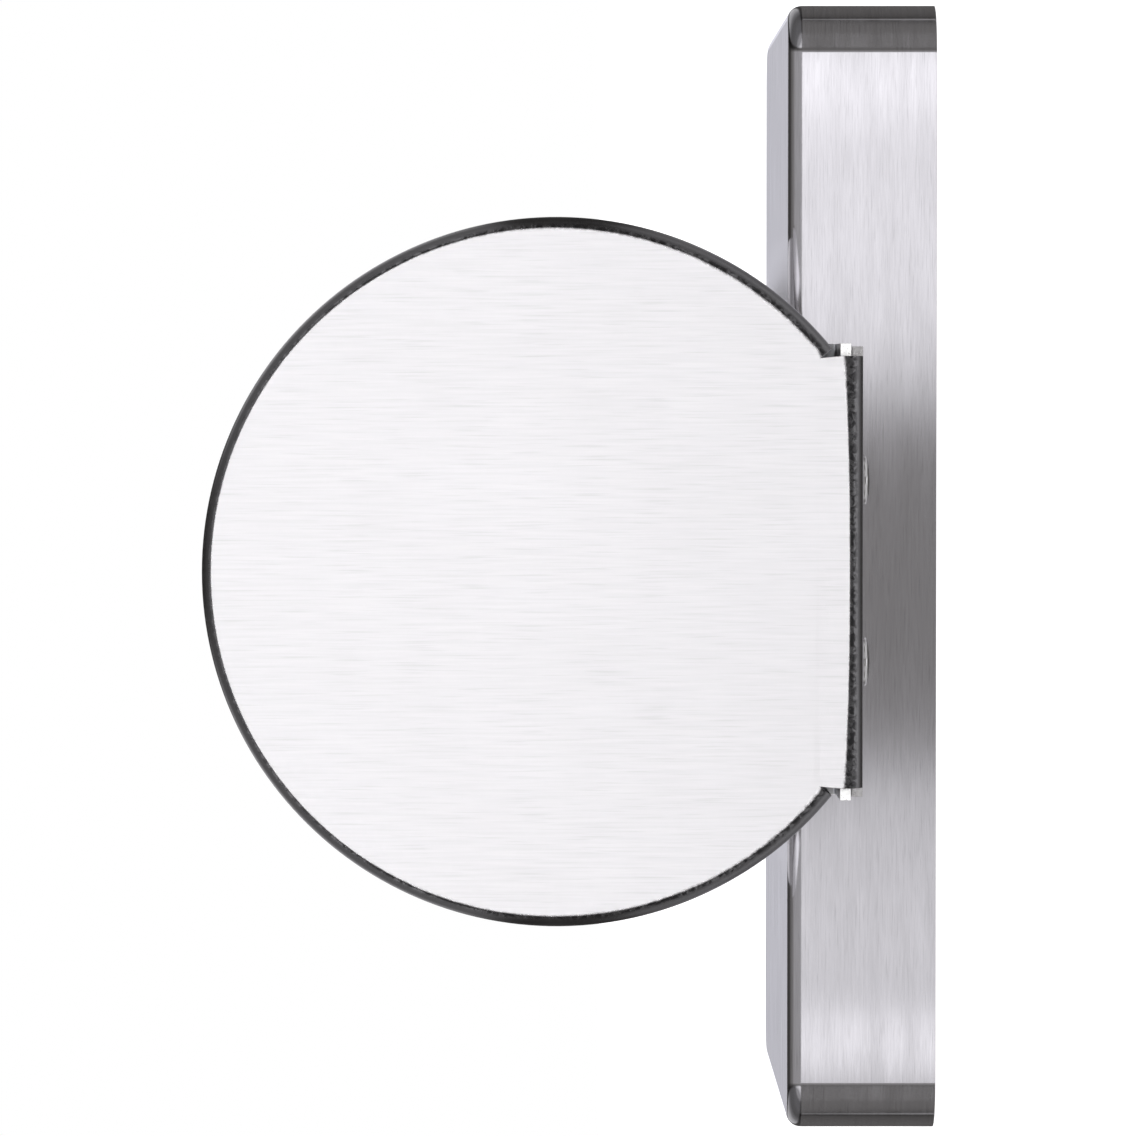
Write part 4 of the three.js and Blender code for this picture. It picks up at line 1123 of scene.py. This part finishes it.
def make_button():
    bottom, top = low("button_bushing").z, high("button_bushing").z
    flange, sleeve, seat = high("button_bushing").x, 6 * MM, high("drum_shell").z + CONTACT
    bore, low_bore, step = 3.9 * MM, 4.8 * MM, top - 3.3 * MM
    upright = {"at": Vector((0, 0, 0)), "turn": UPRIGHT}
    turned_piece("bushing_sleeve", "button_bushing", "screw_steel", [
        (low_bore, bottom), (sleeve, bottom), (sleeve, seat), (flange * 0.985, seat),
        (flange, seat + 0.4 * MM), (flange - 0.55 * MM, top - 0.08 * MM), (bore + 0.5 * MM, top),
        (bore, top - 0.35 * MM), (bore, step), (low_bore, step)], 96, 0.22 * MM, **upright)
    foot, cap = low("release_button").z, high("release_button").z
    shoulder, collar_foot = step - CONTACT, step - CONTACT - 1.5 * MM
    radius, collar, stem = 3.7 * MM, high("release_button").x, 1.4 * MM
    turned_piece("push_button", "release_button", "red_plastic", [
        (0, foot), (stem, foot), (stem, collar_foot), (collar, collar_foot), (collar, shoulder),
        (radius, shoulder), (radius, cap - 0.75 * MM), (radius * 0.93, cap - 0.28 * MM),
        (radius * 0.72, cap - 0.06 * MM), (radius * 0.4, cap), (0, cap)], 72, 0.25 * MM, **upright)


def make_springs():
    foot = Vector((0, low("ejector_spring").y, DRUM_AXIS_Z))
    length = high("ejector_spring").y - foot.y
    spring = put("eject_coil", spring_mesh("eject", 2.8 * MM, 0.35 * MM, length, 5), "ejector_spring",
                 "spring_steel", foot, ALONG_Y)
    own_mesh(spring)
    foot = Vector((0, 0, low("button_spring").z))
    length = high("button_spring").z - foot.z
    spring = put("button_coil", spring_mesh("button", 3 * MM, 0.3 * MM, length, 4), "button_spring",
                 "spring_steel", foot)
    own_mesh(spring)


# ---- CAD nodes that stay ----------------------------------------------------------------------------


def dress_frame():
    """The nodes that no piece has replaced get their slot's material, merged faces and soft edges."""
    leads = {f"{lead}_lead_{side}" for lead in ("coil", "switch") for side in SIDES}
    for name, obj in NODES.items():
        if obj.hide_render:
            continue
        slot = obj.data.materials[0].name.split(".")[0]
        obj.data.materials.clear()
        obj.data.materials.append(MATERIALS[slot])
        merge = obj.modifiers.new("merge", "WELD")
        merge.merge_threshold = 0.001 * MM
        if name in leads:
            for polygon in obj.data.polygons:
                polygon.use_smooth = True
            smooth = obj.modifiers.new("round", "SUBSURF")
            smooth.levels = smooth.render_levels = 2
        else:
            soften(obj, NODE_EDGE_ROUND)


# ---- Camera, light and floor ------------------------------------------------------------------------

EYE = Vector((18.9, -664.0, 37.7)) * MM
LENS = 197.1
TILT_DOWN = radians(1.707)
TILT_SIDE = radians(0.04)
FLOOR_REACH = 6.0
FLOOR_DROP = 0.0002


def make_camera():
    """The object is seen from behind and level, with the camera on its side: up is along the base."""
    data = bpy.data.cameras.new("camera")
    data.lens, data.sensor_width = LENS, 36
    data.clip_start, data.clip_end = 0.01, 50
    camera = new_object("camera", data)
    forward = Vector((-sin(TILT_DOWN), cos(TILT_DOWN), -sin(TILT_SIDE))).normalized()
    right = forward.cross(Vector((1, 0, 0))).normalized()
    up = right.cross(forward)
    turn = Matrix((right, up, -forward)).transposed().to_4x4()
    camera.matrix_world = Matrix.Translation(EYE) @ turn
    bpy.context.scene.camera = camera


# Light from each direction, as (angle in degrees, brightness). The angle called rise turns from -Y over +Z
# to +Y, aside leans towards +X, and polar turns away from -Y. A softbox is also bounded along X and Z.
AMBIENT_RISE = [
    (-180, 0.3), (-168, 0.2), (-144, 0.10), (-125, 0.18), (-110, 0.5), (-96, 1.15), (-72, 1.15),
    (-58, 0.45), (-38, 0.1), (-24, 0.12), (-12, 0.36), (20, 0.36), (64, 0.36), (80, 0.2), (100, 0.14),
    (114, 0.05), (146, 0.05), (158, 0.1), (166, 0.2), (180, 0.3)]
AMBIENT_ASIDE = [
    (-90, 0.15), (-82, 0.4), (-40, 0.4), (-14, 0.38), (-7, 0.9), (-4.4, 1.0), (-3.6, 0.85), (-3.3, 0.57),
    (-0.5, 0.57), (0, 1.0), (4, 1.0), (10, 0.4), (82, 0.4), (90, 0.15)]
PANEL_RISE = [(-20, 0), (-9, 0), (-5.5, 1), (5.5, 1), (9, 0), (20, 0)]
PANEL_ASIDE = [
    (-10, 0.0), (-7.2, 0.0), (-6.7, 0.8), (-6.4, 1.0), (-6.1, 0.89), (-5.7, 0.41), (-5.3, 0.51),
    (-4.9, 0.55), (-4.5, 0.43), (-4.1, 0.45), (-3.7, 0.4), (-3.35, 0.02), (-0.45, 0.02), (0.05, 0.5),
    (0.45, 0.72), (0.9, 0.75), (1.5, 0.8), (2.1, 0.71), (2.5, 0.84), (2.9, 1.0), (3.3, 1.1), (3.9, 0.6),
    (4.6, 0.0), (10, 0.0)]
BACKDROP_RISE = [(-180, 1), (-172, 0.8), (-160, 0), (0, 0), (160, 0), (172, 0.8), (180, 1)]
BACKDROP_ASIDE = [(-90, 0), (-14, 0), (-8, 1), (8, 1), (14, 0), (90, 0)]
SOFTBOX_POLAR = [
    (0, 0), (15, 0), (22, 1), (46, 1), (58, 0.32), (104, 0.32), (116, 0.5), (136, 1), (180, 1)]
SOFTBOX_ACROSS = [(-1, 1), (-0.28, 1), (-0.2, 0), (0, 0), (0.2, 0), (0.28, 1), (1, 1)]
SOFTBOX_UP = [(-1, 0.7), (-0.24, 0.7), (-0.15, 0), (0, 0), (0.12, 0), (0.2, 1), (1, 1)]
PANEL_POWER = 0.92
BACKDROP_POWER = 0.5
SOFTBOX_POWER = 0.9
DIM_TINT = (1.0, 0.955, 0.92)
BRIGHT_TINT = (0.985, 0.975, 1.0)
BACKDROP_TINT = (0.95, 0.945, 1.04)


def make_world():
    world = bpy.data.worlds.new("studio")
    bpy.context.scene.world = world
    world.use_nodes = True
    world.node_tree.nodes.clear()
    light = Nodes(world.node_tree)

    def curve(value, stops):
        start, end = stops[0][0], stops[-1][0]
        made = light.tree.nodes.new("ShaderNodeValToRGB")
        ramp = made.color_ramp
        ramp.interpolation = "EASE"
        while len(ramp.elements) < len(stops):
            ramp.elements.new(0.5)
        for element, (angle, grey) in zip(ramp.elements, stops):
            element.position = (angle - start) / (end - start)
            element.color = (grey, grey, grey, 1)
        light.feed(made.inputs["Fac"], light.spread(value, start, end))
        return made.outputs["Color"]

    def degrees(angle):
        return light.times(angle, 180 / pi)

    x, y, z = light.axes(light.node("ShaderNodeTexCoord", output="Generated"))
    behind_y = light.times(y, -1.0)
    rise = degrees(light.maths("ARCTAN2", z, behind_y))
    aside = degrees(light.maths("ARCSINE", x))
    polar = degrees(light.maths("ARCCOSINE", behind_y))
    ambient = light.times(curve(rise, AMBIENT_RISE), curve(aside, AMBIENT_ASIDE))
    panel = light.times(curve(rise, PANEL_RISE), curve(aside, PANEL_ASIDE))
    panel = light.times(light.times(panel, light.maths("LESS_THAN", y, 0.0)), PANEL_POWER)
    backdrop = light.times(curve(rise, BACKDROP_RISE), curve(aside, BACKDROP_ASIDE))
    softbox = light.times(curve(x, SOFTBOX_ACROSS), curve(z, SOFTBOX_UP))
    softbox = light.times(softbox, curve(polar, SOFTBOX_POLAR))
    total = light.add(light.add(ambient, panel), light.times(backdrop, BACKDROP_POWER))
    total = light.add(total, light.times(softbox, SOFTBOX_POWER))
    colour = light.node("ShaderNodeMixRGB", {0: light.spread(total, 0.05, 0.4), 1: DIM_TINT, 2: BRIGHT_TINT})
    colour = light.node("ShaderNodeMixRGB", {0: backdrop, 1: colour, 2: BACKDROP_TINT})
    studio = light.node("ShaderNodeBackground", {"Color": colour, "Strength": total})
    plain = light.node("ShaderNodeBackground", {"Color": (1, 1, 1), "Strength": 1.0})
    seen = light.node("ShaderNodeLightPath", output="Is Camera Ray")
    shown = light.node("ShaderNodeMixShader", {0: seen, 1: studio, 2: plain})
    light.node("ShaderNodeOutputWorld", {"Surface": shown})


def make_floor():
    floor = bpy.data.meshes.new("floor")
    corners = ((-1, -1), (1, -1), (1, 1), (-1, 1))
    floor.from_pydata([(FLOOR_REACH * x, FLOOR_REACH * y, 0) for x, y in corners], [], [(0, 1, 2, 3)])
    m = Shader("floor")
    m.set(base_color=(0.8, 0.8, 0.8), roughness=0.9, emission_color=(1, 1, 1), emission_strength=0.97)
    floor.materials.append(m.material)
    stage = new_object("floor", floor)
    stage.location.z = -FLOOR_DROP
    stage.visible_glossy = False


def make_lights():
    """A large soft light from the camera's side and a smaller one above, which only matt surfaces show."""
    for name, size, power, at in (("front", 1.6, 103.0, (0.0, -2.2, 0.1)),
                                  ("key", 0.5, 2.0, (0.25, -0.7, 0.75))):
        data = bpy.data.lights.new(name, "AREA")
        data.shape, data.size, data.energy = "SQUARE", size, power
        light = new_object(name, data)
        light.location = at
        light.visible_glossy = False
        light.rotation_euler = (Vector((0, 0, 0.03)) - light.location).to_track_quat("-Z", "Y").to_euler()


# ---- Everything -------------------------------------------------------------------------------------

bpy.context.scene.view_settings.view_transform = "Standard"
make_camera()
make_world()
make_floor()
make_lights()
make_base_cover()
make_cap("cap_rear", "rear_cap", -1)
make_cap("cap_front", "front_cap", 1, high("magnet_pot").x + WINDOW_MARGIN)
make_shell()
make_chassis()
make_fasteners()
make_magnet()
make_button()
make_springs()
dress_frame()
